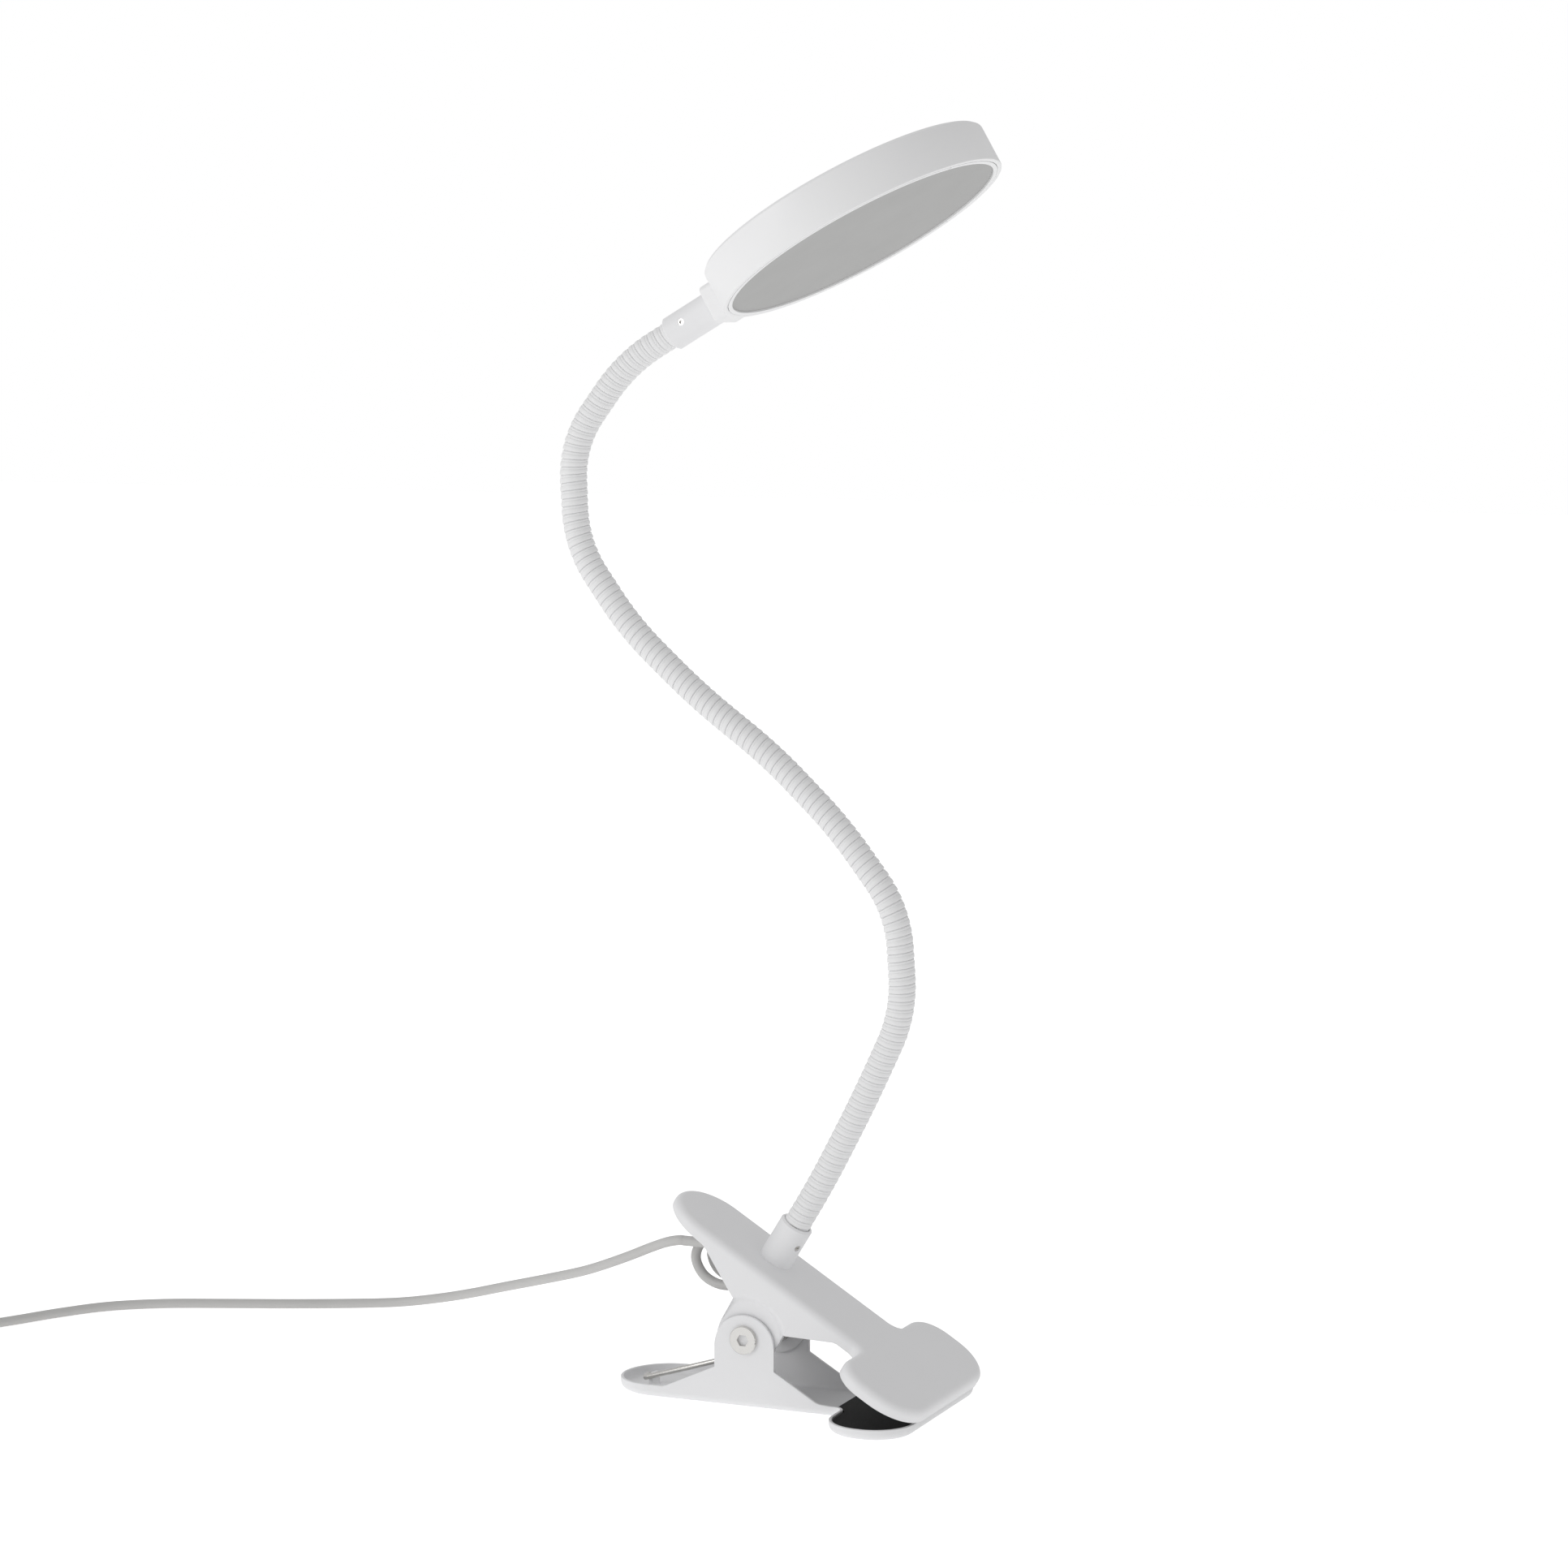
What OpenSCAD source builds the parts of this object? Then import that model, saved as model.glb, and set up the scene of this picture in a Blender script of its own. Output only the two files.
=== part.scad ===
// Clip-on LED reading lamp: round head, spiral gooseneck, sprung sheet-metal clip and a lead with a switch.
// Millimetres. +Z up, +X from the clip's handle to its jaws, origin on the table under the clip's pivot.

/* [Head] */
// Diameter of the round head
head_d = 110; // [90:1:135]
// Thickness of the head
head_t = 16; // [13.5:0.5:20]
// Wall of the head housing
head_wall = 1.8; // [1.4:0.1:2.4]
// Bevel round the head's back edge
head_bevel = 1.2; // [0.5:0.1:1.3]
// Width of the trim ring's lip
trim_lip = 0.9; // [0.6:0.1:2]
// Height of the trim ring
trim_h = 3.6; // [3.2:0.1:4.4]
// Thickness of the diffuser
diffuser_t = 2; // [1.5:0.1:2.2]
// Thickness of the LED board
board_t = 1.6; // [1:0.1:2]
// LEDs in the outer of the three rings
led_count = 24; // [12:3:30]

/* [Neck] */
// Length of the neck block along the gooseneck
neck_len = 5.4; // [4.6:0.1:9]
// Width of the neck block
neck_w = 19; // [17:0.5:24]
// Height of the neck block
neck_h = 14.4; // [13.2:0.1:15.6]
// Wall of the two sleeves round the hose
sleeve_wall = 1.25; // [1:0.05:1.5]
// Length of the lower sleeve above the lever
sleeve_len = 16.5; // [14:0.5:22]
// Length of the upper sleeve outside the neck block
upper_sleeve_len = 20.4; // [16:0.1:24]
// Depth of the gooseneck inside a sleeve
hose_seat = 11; // [9:0.5:12]
// Diameter of the grub screws
grub_d = 2.5; // [2:0.1:3]

/* [Gooseneck] */
// Outer diameter of the spiral hose
hose_d = 10; // [8.4:0.1:12]
// Bore of the spiral hose
hose_bore = 6; // [5.6:0.1:6.2]
// Length of one link of the hose
link_len = 35.9; // [28:0.1:45]
// Straight length of hose added before the upper sleeve
hose_tip = 2.6; // [0:0.1:6]
// Diameter of the lead
lead_d = 3.7; // [3.1:0.1:4.4]

/* [Clip] */
// Width of the clip's levers
lever_w = 34; // [30:0.5:40]
// Thickness of the clip's sheet metal
sheet_t = 1.2; // [1:0.1:1.5]
// Height of the pivot above the table
pivot_h = 25; // [24:0.5:30]
// Slope of the closed upper lever, in degrees
lever_tilt = 31.5; // [31:0.5:34]
// Height of the upper lever's top face above the pivot
top_h = 25.5; // [24:0.5:29]
// Width of the upper jaw
upper_jaw_w = 84; // [70:1:96]
// Width of the lower jaw
lower_jaw_w = 86; // [72:1:98]
// Reach of the lower jaw's front edge from the pivot
jaw_reach = 70.5; // [66:0.5:73]
// Reach of the lower handle's back end from the pivot
handle_reach = 55.5; // [48:0.5:66]
// Depth of the upper jaw's rim
upper_rim = 5.1; // [4:0.1:5.4]
// Height of the lower jaw's rim
lower_rim = 4; // [3.4:0.1:4.2]
// Thickness of the lower jaw's rubber pad
pad_t = 2.1; // [1.5:0.1:2.4]
// Outer diameter of the pivot bush
bush_d = 8; // [6.7:0.1:9.6]
// Diameter of the pivot screws' flat heads
pivot_head_d = 10.4; // [9.5:0.1:12]
// Diameter of the torsion spring's wire
wire_d = 2; // [1.6:0.1:2.2]

/* [Switch and plug] */
// Length of the in-line switch's shells
switch_len = 48; // [42:1:60]
// Width of the in-line switch
switch_w = 18; // [16:0.5:22]
// Height of the in-line switch
switch_h = 13; // [12:0.5:15]
// Travel of the switch's button
button_travel = 1.2; // [0.8:0.1:1.5]
// Length of the plug's moulded body
plug_len = 30; // [24:1:36]

/* [Hidden] */
$fn = 48;
eps = 0.01;
run_gap = 0.05;          // a pin in the hole that turns on it
seat_gap = 0.1;          // a part that drops into its seat
slide_gap = 0.3;         // between bodies that move past each other
thread_gap = 0.02;

// Gooseneck: how each link of the rest shape bends, in degrees, towards the jaws when positive
rest_bends = [-4, -2.5, -29, -34, -9, -7.5, 6, 12.5, 33.5, 39.5, 23];
link_count = len(rest_bends);
hose_r = hose_d / 2;
hose_bore_r = hose_bore / 2;
lead_r = lead_d / 2;
stub_len = 5;            // straight part of a link at each joint
arc_len = link_len - 2 * stub_len;
joint_setback = 1.4;     // from a joint's centre to the hose wall on each side
ball_r = hose_r - 0.8;
socket_r = ball_r + slide_gap;
ball_back = 1.5;           // how far the ball reaches behind its centre
core_setback = 0.6;
lap = 0.3;               // a link's stubs reach this far into its arc, a hair inside its walls
hair = 0.05;

// Sleeves
sleeve_r = hose_r + sleeve_wall;
seat_r = hose_r + seat_gap;
spigot_wall = 1;
spigot_r = hose_bore_r + spigot_wall;
sleeve_chamfer = 0.6;
grub_sink = 0.25;        // of the grub screw's outer end below the sleeve's wall
grub_hex = 1.3;
grub_depth = 6.9;        // of the lower grub screw below its sleeve's mouth
upper_grub_depth = 7.7;
lower_grub_turn = -27;
upper_grub_turn = -83;

// Clip
half_w = lever_w / 2;
inner_w = half_w - sheet_t;
sleeve_x = -9.5;         // place of the lower sleeve along the upper lever
upper_front = 72.5;      // front edge of the upper jaw along the upper lever
upper_back = -53;        // back end of the upper lever
jaw_back = 39;           // back edge of both jaws
jaw_back_r = 12;
jaw_front_r = 17;
lower_corner_r = 15;
web_r = 4.5;             // hollow corner between lever and jaw
ear_r = 11.5;            // upper ears
lower_ear_r = 11.7;
lower_ear_drop = 2.7;    // the lower ears' round is centred this far below the pivot
joggle_r = 14.3;         // the upper lever's sides step inwards round the pivot
washer_t = 0.4;
ear_gap = washer_t + 2 * run_gap;
upper_ear_y = inner_w - ear_gap;
upper_under = top_h - sheet_t;
bush_r = bush_d / 2;
washer_r = bush_r + 2.8;
screw_d = 5;
screw_r = screw_d / 2;
pivot_head_t = 1.3;
pivot_screw_len = 9;
pivot_hex = 4;
rear_rim = 4.3;          // height of the low rim round the lower handle
pad_inset = 0.4;
pad_proud = 0.1;         // of the upper pad below the upper jaw's rim
upper_pad_t = upper_rim - sheet_t + pad_proud;

// Torsion spring
wire_r = wire_d / 2;
coil_r = bush_r + run_gap + wire_r + 1.2;
spring_near = -8;
spring_far = inner_w - ear_gap - sheet_t - wire_r - slide_gap - 0.3;
lower_leg_end = [-44, 0, 4.6];
tab_x = lower_leg_end[0] + wire_r + 0.4;
tab_y = spring_near + wire_r + 0.4;
tab_w = 7;
tab_h = 4.6;
bend_loss = 0.8;         // by which the slot is longer than its tab
upper_leg_along = -33;

// Fastening of the lower sleeve
nut_t = 4;
nut_af = 2 * spigot_r + 5;
nut_flange_t = 1;
nut_flange_r = spigot_r + 4;
spigot_len = sheet_t + nut_flange_t + nut_t + 1;
grommet_len = 3;

// Head
head_r = head_d / 2;
half_t = head_t / 2;
head_centre = upper_sleeve_len + neck_len + head_r;
upper_spigot_len = neck_len - 1;
neck_screw_bite = neck_len - 1.4;
board_margin = 8;
lip_t = 0.6;
trim_skirt = 0.6;
trim_r = head_r - head_wall - seat_gap;
glass_r = trim_r - trim_skirt - seat_gap;
glass_z = -half_t + lip_t;
board_r = head_r - board_margin;
board_z = 1.6;            // underside of the LED board above the head's middle
boss_r = 3;
board_screw_r = 1.1;
board_screw_head_r = 2;
board_screw_head_t = 1;
reflector_wall = 0.8;
notch_turns = [75, -25]; // of the two small nicks in the trim ring
notch_size = 0.5;
ring_step = board_r / 3.6;  // between the three rings of LEDs
boss_at = 2.5 * ring_step;
boss_turn = 45;
led_size = 2.8;
led_t = 0.8;
neck_round = 2.4;
neck_screw_r = 1.3;
neck_screw_head_r = 2.6;
neck_screw_y = (spigot_r + neck_w / 2) / 2;
inside_r = head_r - head_wall;
neck_screw_land = inside_r - sqrt(pow(inside_r, 2) - pow(neck_screw_y + neck_screw_head_r, 2)) + seat_gap;

// Lead: hand-set route of its centre line; the knot's steps start from the spigot's mouth
knot_start = along_lever(sleeve_x, top_h - spigot_len);
knot_steps = [
    [0, 0, 0], [-1.3, 0, -2.1], [-4, 0.2, -3.8], [-7.5, 0.6, -4.7], [-13.5, 1.2, -5.6], [-20.5, 2, -5.6],
    [-26.5, 2.6, -2.6], [-29.5, 3, 3.4], [-27, 3.6, 9.4], [-20.5, 4.2, 12.4], [-13.5, 4.9, 10.4], [-9.5, 5.5, 4.4],
    [-12, 6.3, -1.1], [-17.5, 7, -3.6], [-23, 7.7, -1.1], [-25.5, 8.3, 4.4], [-23.5, 8.8, 9.4], [-18.5, 8.6, 12],
    [-13.5, 6, 11.8], [-11.5, 1, 11.4], [-14, -4.5, 11.4], [-19.5, -7.2, 11.5], [-23.5, -7.2, 11.5], [-27.5, -7.2, 11.5]
];
knot_route = [for (p = knot_steps) knot_start + p];
lead_z = lead_r + run_gap;
bend_shift = knot_route[len(knot_route) - 1] - [-26, -7.2, 57.1];
bend_points = [
    [-26, -7.2, 57.1], [-28, -7.2, 57.1], [-30, -7.2, 57.1], [-36, -5, 55.4], [-45, 0, 51.5], [-60, 8, 44.5],
    [-82, 22, 35], [-106, 36, 26.5], [-130, 49, 18.5], [-150, 58, 12], [-168, 64, 7]
];
bend_last = len(bend_points) - 1;
bend_route = [for (k = [0 : bend_last]) bend_points[k] + bend_shift * min(1, (bend_last - k) / (bend_last - 2))];
run_route = [
    [-168, 64, 7], [-186, 66, 3.4], [-205, 62, lead_z + 0.1], [-228, 52, lead_z], [-250, 43, lead_z],
    [-273, 33, lead_z], [-291, 20, lead_z], [-303, 3, lead_z], [-312, -14, lead_z], [-321, -32, lead_z + 0.3],
    [-329.5, -50.4, lead_z + 0.7]
];
coil_at = [-353, -40];
coil_mid_r = 22;
coil_layers = 3;
coil_turns = 3;
coil_w = coil_turns * lead_d;
coil_h = coil_layers * lead_d;
tie_w = 9;
tie_turn = 60;
tie_t = 0.7;
coil_in_r = coil_mid_r - coil_w / 2;
tie_slack = 2 * (coil_in_r - sqrt(pow(coil_in_r, 2) - pow(tie_w / 2, 2)) + seat_gap);
coil_lift = tie_t;
coil_top = coil_lift + coil_h;

// Switch and plug: they lie beside the coil, with the lead turning back between them
relief_len = 10;
relief_r = 3.5;
relief_tip_r = 2.5;
switch_at = [coil_at[0] - coil_mid_r - lead_d, coil_at[1] + 38 + switch_len / 2];
switch_near = switch_at[1] - switch_len / 2;
switch_far = switch_at[1] + switch_len / 2;
switch_mid_z = switch_h / 2;
switch_wall = 1.5;
button_w = 9;
button_len = 15;
button_up = 0.4;         // how far the pressed button still stands out
button_flange = 0.8;
plug_turn_r = 11;
plug_x = switch_at[0] - 2 * plug_turn_r;
turn_y = switch_far + relief_len;
plug_back = turn_y - relief_len;
plug_w = 15.5;
plug_h = 7.6;
plug_z = plug_h / 2;
usb_w = 12;
usb_h = 4.5;
usb_wall = 0.35;
usb_out = 12;
usb_in = 8;
lead_in = 3;             // how far the lead runs inside the switch and the plug
tail_in_route = [
    [switch_at[0], coil_at[1], coil_top - lead_r], [switch_at[0], coil_at[1] + 8, coil_top - lead_r - 0.4],
    [switch_at[0], coil_at[1] + 17, switch_mid_z + 1.4], [switch_at[0], switch_near - relief_len - 3, switch_mid_z + 0.1],
    [switch_at[0], switch_near - relief_len, switch_mid_z], [switch_at[0], switch_near - 4, switch_mid_z],
    [switch_at[0], switch_near + lead_in, switch_mid_z]
];
function turn_point(a) = [
    switch_at[0] - plug_turn_r * (1 - cos(a)), turn_y + plug_turn_r * sin(a),
    switch_mid_z + (plug_z - switch_mid_z) * a / 180
];
tail_out_route = concat(
    [[switch_at[0], switch_far - lead_in, switch_mid_z], [switch_at[0], switch_far + 4, switch_mid_z]],
    [for (a = [0 : 22.5 : 180]) turn_point(a)],
    [[plug_x, plug_back + 4, plug_z], [plug_x, plug_back - lead_in, plug_z]]
);

white = [0.93, 0.93, 0.94];
grey_lead = [0.84, 0.83, 0.82];
black = [0.1, 0.1, 0.1];
steel = [0.75, 0.75, 0.76];

// ---- places ----

// The closed upper lever: x runs down towards the jaws, z out of its top face, origin at the pivot
module on_lever() {
    translate([0, 0, pivot_h]) rotate([0, lever_tilt, 0]) children();
}

function along_lever(x, z) = [
    x * cos(lever_tilt) + z * sin(lever_tilt), 0, pivot_h - x * sin(lever_tilt) + z * cos(lever_tilt)
];

// A link is a straight stub, an arc and a straight stub; this is its far end in its own frame
function arc_radius(bend) = arc_len * 180 / (PI * bend);
function arc_end(bend) = [arc_radius(bend) * (1 - cos(bend)), 0, stub_len + arc_radius(bend) * sin(bend)];
function link_reach(bend) = arc_end(bend) + stub_len * [sin(bend), 0, cos(bend)];
function turned(v, heading) = [
    v[0] * cos(heading) + v[2] * sin(heading), 0, v[2] * cos(heading) - v[0] * sin(heading)
];

function headings(i) = i == 0 ? lever_tilt : headings(i - 1) + rest_bends[i - 1];
function joint_at(i) = i == 0
    ? along_lever(sleeve_x, top_h + sleeve_len)
    : joint_at(i - 1) + turned(link_reach(rest_bends[i - 1]), headings(i - 1));

module on_joint(i) {
    translate(joint_at(i)) rotate([0, headings(i), 0]) children();
}

// The head: x runs from the gooseneck's end to the middle of the head, z out of the head's back
module on_head() {
    on_joint(link_count) translate([0, 0, hose_tip]) rotate([0, -90, 0]) children();
}

// ---- shapes ----

module tube(r, bore, h) {
    difference() {
        cylinder(r = r, h = h);
        translate([0, 0, -eps]) cylinder(r = bore, h = h + 2 * eps);
    }
}

module hexagon(flats) {
    circle(r = flats / sqrt(3), $fn = 6);
}

module round_bar(w, h, r) {
    square([w - 2 * r, h], center = true);
    square([w, h - 2 * r], center = true);
    for (x = [-1, 1], y = [-1, 1]) translate([x * (w / 2 - r), y * (h / 2 - r)]) circle(r = r);
}

// The bent middle of a link as a solid bar or, with a bore, as a tube
module link_arc(i, r, bore) {
    bend = abs(rest_bends[i]);
    mirror([rest_bends[i] < 0 ? 1 : 0, 0, 0]) translate([arc_radius(bend), 0, stub_len])
        rotate([90, 0, 0]) rotate([0, 0, 180 - bend]) rotate_extrude(angle = bend, $fn = 96)
            translate([arc_radius(bend), 0]) difference() {
                circle(r = r);
                if (bore > 0) circle(r = bore);
            }
}

// The far end of a link's arc, in the link's own frame
module link_end(i) {
    translate(arc_end(rest_bends[i])) rotate([0, rest_bends[i], 0]) children();
}

// Smooth curve through a route's points, and a ring of points round each step of it
function spline(p, k, t) =
    let (a = p[max(k - 1, 0)], b = p[k], c = p[k + 1], d = p[min(k + 2, len(p) - 1)])
    0.5 * (2 * b + (c - a) * t + (2 * a - 5 * b + 4 * c - d) * t * t + (3 * b - a - 3 * c + d) * t * t * t);
function smooth(p, steps) = concat(
    [for (k = [0 : len(p) - 2], s = [0 : steps - 1]) spline(p, k, s / steps)], [p[len(p) - 1]]);
function unit(v) = v / norm(v);
function ahead(p, k) = unit(p[min(k + 1, len(p) - 1)] - p[max(k - 1, 0)]);
function carry(v, t) = unit(v - (v * t) * t);
function sides(p, k) = k == 0 ? carry([0.1, 1, 0.2], ahead(p, 0)) : carry(sides(p, k - 1), ahead(p, k));

module lead_tube(route, steps) {
    path = smooth(route, steps);
    count = 8;
    rings = [for (k = [0 : len(path) - 1])
        let (u = sides(path, k), v = cross(ahead(path, k), u))
        for (a = [0 : count - 1]) path[k] + lead_r * (cos(360 * a / count) * u + sin(360 * a / count) * v)];
    last = count * (len(path) - 1);
    walls = [for (k = [0 : len(path) - 2], a = [0 : count - 1])
        let (b = (a + 1) % count) [k * count + a, (k + 1) * count + a, (k + 1) * count + b, k * count + b]];
    near_cap = [for (a = [0 : count - 1]) a];
    far_cap = [for (a = [count - 1 : -1 : 0]) last + a];
    polyhedron(points = rings, faces = concat(walls, [near_cap], [far_cap]), convexity = 6);
}

// ---- head ----

module head_housing() {
    color(white) on_head() translate([head_centre, 0, 0]) difference() {
        union() {
            difference() {
                union() {
                    translate([0, 0, -half_t]) cylinder(r = head_r, h = head_t - head_bevel, $fn = 128);
                    translate([0, 0, half_t - head_bevel])
                        cylinder(r1 = head_r, r2 = head_r - head_bevel, h = head_bevel, $fn = 128);
                }
                translate([0, 0, -half_t - eps])
                    cylinder(r = head_r - head_wall, h = head_t - head_wall + eps, $fn = 128);
            }
            for (a = [0 : 3]) rotate([0, 0, boss_turn + 90 * a]) translate([boss_at, 0, board_z + board_t])
                cylinder(r = boss_r, h = half_t - head_wall - board_z - board_t + eps);
        }
        for (a = [0 : 3]) rotate([0, 0, boss_turn + 90 * a]) translate([boss_at, 0, board_z])
            cylinder(r = board_screw_r, h = half_t - head_wall - board_z - 0.2);
        translate([-head_r, 0, 0]) rotate([0, 90, 0]) translate([0, 0, -4]) cylinder(r = hose_bore_r, h = 12);
        for (y = [-1, 1]) translate([-head_r, y * neck_screw_y, 0]) rotate([0, 90, 0])
            translate([0, 0, -4]) cylinder(r = neck_screw_r + slide_gap, h = 12);
    }
}

module trim_ring() {
    color(white) on_head() translate([head_centre, 0, -half_t]) difference() {
        union() {
            tube(trim_r, trim_r - trim_skirt - trim_lip, lip_t, $fn = 128);
            tube(trim_r, trim_r - trim_skirt, trim_h, $fn = 128);
        }
        for (a = notch_turns) rotate([0, 0, a]) translate([trim_r - trim_skirt, 0, 0.1])
            cube([3, notch_size, notch_size], center = true);
    }
}

module diffuser() {
    color([0.75, 0.75, 0.75]) on_head() translate([head_centre, 0, glass_z])
        cylinder(r = glass_r, h = diffuser_t, $fn = 128);
}

module reflector_ring() {
    color([0.98, 0.98, 0.98]) on_head() translate([head_centre, 0, glass_z + diffuser_t + seat_gap])
        rotate_extrude($fn = 128) polygon([
            [board_r - reflector_wall, board_z - glass_z - diffuser_t - 2 * seat_gap],
            [board_r, board_z - glass_z - diffuser_t - 2 * seat_gap],
            [glass_r, 0], [glass_r - reflector_wall - 0.1, 0]
        ]);
}

module led_board() {
    color([0.9, 0.92, 0.9]) on_head() translate([head_centre, 0, board_z]) difference() {
        cylinder(r = board_r, h = board_t, $fn = 96);
        for (a = [0 : 3]) rotate([0, 0, boss_turn + 90 * a]) translate([boss_at, 0, -1])
            cylinder(r = board_screw_r + 0.2, h = board_t + 2);
    }
}

module leds() {
    color([1, 0.93, 0.6]) on_head() translate([head_centre, 0, board_z - led_t])
        for (ring = [1 : 3], a = [1 : led_count * ring / 3])
            rotate([0, 0, a * 1080 / (led_count * ring)])
                translate([ring * ring_step, 0, led_t / 2])
                cube([led_size, led_size, led_t], center = true);
}

module board_screws() {
    color(steel) on_head() translate([head_centre, 0, board_z]) for (a = [0 : 3])
        rotate([0, 0, boss_turn + 90 * a]) translate([boss_at, 0, 0]) {
            translate([0, 0, -board_screw_head_t]) cylinder(r = board_screw_head_r, h = board_screw_head_t);
            translate([0, 0, -board_screw_head_t / 2]) cylinder(r = board_screw_r - run_gap, h = board_t + 2.2);
        }
}

module neck_block() {
    color(white) on_head() difference() {
        translate([upper_sleeve_len, 0, 0]) rotate([90, 0, 90]) linear_extrude(neck_len + 3)
            round_bar(neck_w, neck_h, neck_round);
        translate([head_centre, 0, -neck_h]) cylinder(r = head_r, h = 2 * neck_h, $fn = 128);
        translate([upper_sleeve_len - 1, 0, 0]) rotate([0, 90, 0]) cylinder(r = hose_bore_r, h = neck_len + 6);
        translate([upper_sleeve_len - 1, 0, 0]) rotate([0, 90, 0])
            cylinder(r = spigot_r + run_gap, h = upper_spigot_len + 1.2);
        for (y = [-1, 1]) translate([upper_sleeve_len + neck_len - neck_screw_bite - 0.4, y * neck_screw_y, 0])
            rotate([0, 90, 0])
            cylinder(r = neck_screw_r, h = 12);
    }
}

module neck_screws() {
    color(steel) on_head() for (y = [-1, 1]) translate([upper_sleeve_len + neck_len, y * neck_screw_y, 0])
        rotate([0, 90, 0]) {
            translate([0, 0, -neck_screw_bite])
                cylinder(r = neck_screw_r - thread_gap, h = neck_screw_bite + 1 + head_wall + neck_screw_land);
            translate([0, 0, head_wall + neck_screw_land]) cylinder(r = neck_screw_head_r, h = 1.6);
        }
}

// A sleeve that stands on z = 0, holds the hose from its top and has a threaded spigot below
module sleeve(len, spigot, depth, turn) {
    difference() {
        union() {
            cylinder(r = sleeve_r, h = len - sleeve_chamfer);
            translate([0, 0, len - sleeve_chamfer])
                cylinder(r1 = sleeve_r, r2 = sleeve_r - sleeve_chamfer, h = sleeve_chamfer);
            translate([0, 0, -spigot]) cylinder(r = spigot_r, h = spigot + 1);
        }
        translate([0, 0, -spigot - 1]) cylinder(r = hose_bore_r, h = len + spigot);
        translate([0, 0, len - hose_seat]) cylinder(r = seat_r, h = hose_seat + 1);
        rotate([0, 0, turn]) translate([0, 0, len - depth]) rotate([0, 90, 0])
            cylinder(r = grub_d / 2, h = sleeve_r + 1);
    }
}

module grub_screw(len, depth, turn) {
    rotate([0, 0, turn]) translate([hose_r, 0, len - depth]) rotate([0, 90, 0]) difference() {
        cylinder(r = grub_d / 2 - thread_gap, h = sleeve_wall - grub_sink);
        translate([0, 0, 0.3]) linear_extrude(2) hexagon(grub_hex);
    }
}

// The upper sleeve points its spigot into the neck block
module at_upper_sleeve() {
    on_head() translate([upper_sleeve_len, 0, 0]) rotate([0, -90, 0]) children();
}

module upper_sleeve() {
    color(white) at_upper_sleeve() sleeve(upper_sleeve_len, upper_spigot_len, upper_grub_depth, upper_grub_turn);
}

module upper_grub_screw() {
    color(steel) at_upper_sleeve() grub_screw(upper_sleeve_len, upper_grub_depth, upper_grub_turn);
}

// ---- gooseneck ----

// Straight end of a link: a tube a hair inside the arc's walls, from one height to another
module stub(from, to) {
    translate([0, 0, from]) tube(hose_r - hair, hose_bore_r + hair, to - from);
}

// Ball end: a short collar round the joint's centre that carries the next stretch of hose
module ball_end() {
    rotate_extrude() difference() {
        union() {
            intersection() {
                circle(r = ball_r);
                translate([0, -ball_back]) square([ball_r, ball_back + joint_setback + lap]);
            }
            translate([0, joint_setback]) square([hose_r - hair, stub_len + lap - joint_setback]);
        }
        translate([-1, -ball_back - 1]) square([1 + hose_bore_r + hair, stub_len + ball_back + 2]);
    }
}

module socket_end() {
    rotate_extrude() difference() {
        translate([hose_bore_r + hair, -lap]) square([hose_r - hose_bore_r - 2 * hair, stub_len + lap - joint_setback]);
        translate([0, stub_len]) circle(r = socket_r);
    }
}

module gooseneck_link(i) {
    color(white) on_joint(i) {
        if (i == 0) stub(-hose_seat, stub_len + lap);
        else ball_end();
        link_arc(i, hose_r, hose_bore_r);
        link_end(i) {
            if (i == link_count - 1) stub(-lap, stub_len + hose_tip + hose_seat);
            else socket_end();
        }
    }
}

module lead_core(i) {
    from = i == 0 ? -sleeve_len - spigot_len : core_setback;
    to = i == link_count - 1 ? -hose_tip - upper_sleeve_len - neck_len - head_wall - 3 : core_setback;
    color(grey_lead) on_joint(i) {
        translate([0, 0, from]) cylinder(r = lead_r - hair, h = stub_len - from + lap);
        link_arc(i, lead_r, 0);
        link_end(i) translate([0, 0, -lap]) cylinder(r = lead_r - hair, h = stub_len - to + lap);
    }
}

// ---- clip ----

module on_sleeve_foot() {
    on_lever() translate([sleeve_x, 0, top_h]) children();
}

module lower_sleeve() {
    color(white) on_sleeve_foot() sleeve(sleeve_len, spigot_len, grub_depth, lower_grub_turn);
}

module lower_grub_screw() {
    color(steel) on_sleeve_foot() grub_screw(sleeve_len, grub_depth, lower_grub_turn);
}

// Flange nut that holds the sleeve's spigot against the lever's underside
module sleeve_nut() {
    color(steel) on_sleeve_foot() translate([0, 0, -sheet_t - nut_flange_t - nut_t]) difference() {
        union() {
            linear_extrude(nut_t) hexagon(nut_af);
            translate([0, 0, nut_t]) cylinder(r = nut_flange_r, h = nut_flange_t);
        }
        translate([0, 0, -1]) cylinder(r = spigot_r + run_gap, h = nut_t + nut_flange_t + 2);
    }
}

module lead_grommet() {
    color(black) on_sleeve_foot() translate([0, 0, -spigot_len]) tube(hose_bore_r - run_gap, lead_r + run_gap, grommet_len);
}

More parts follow.
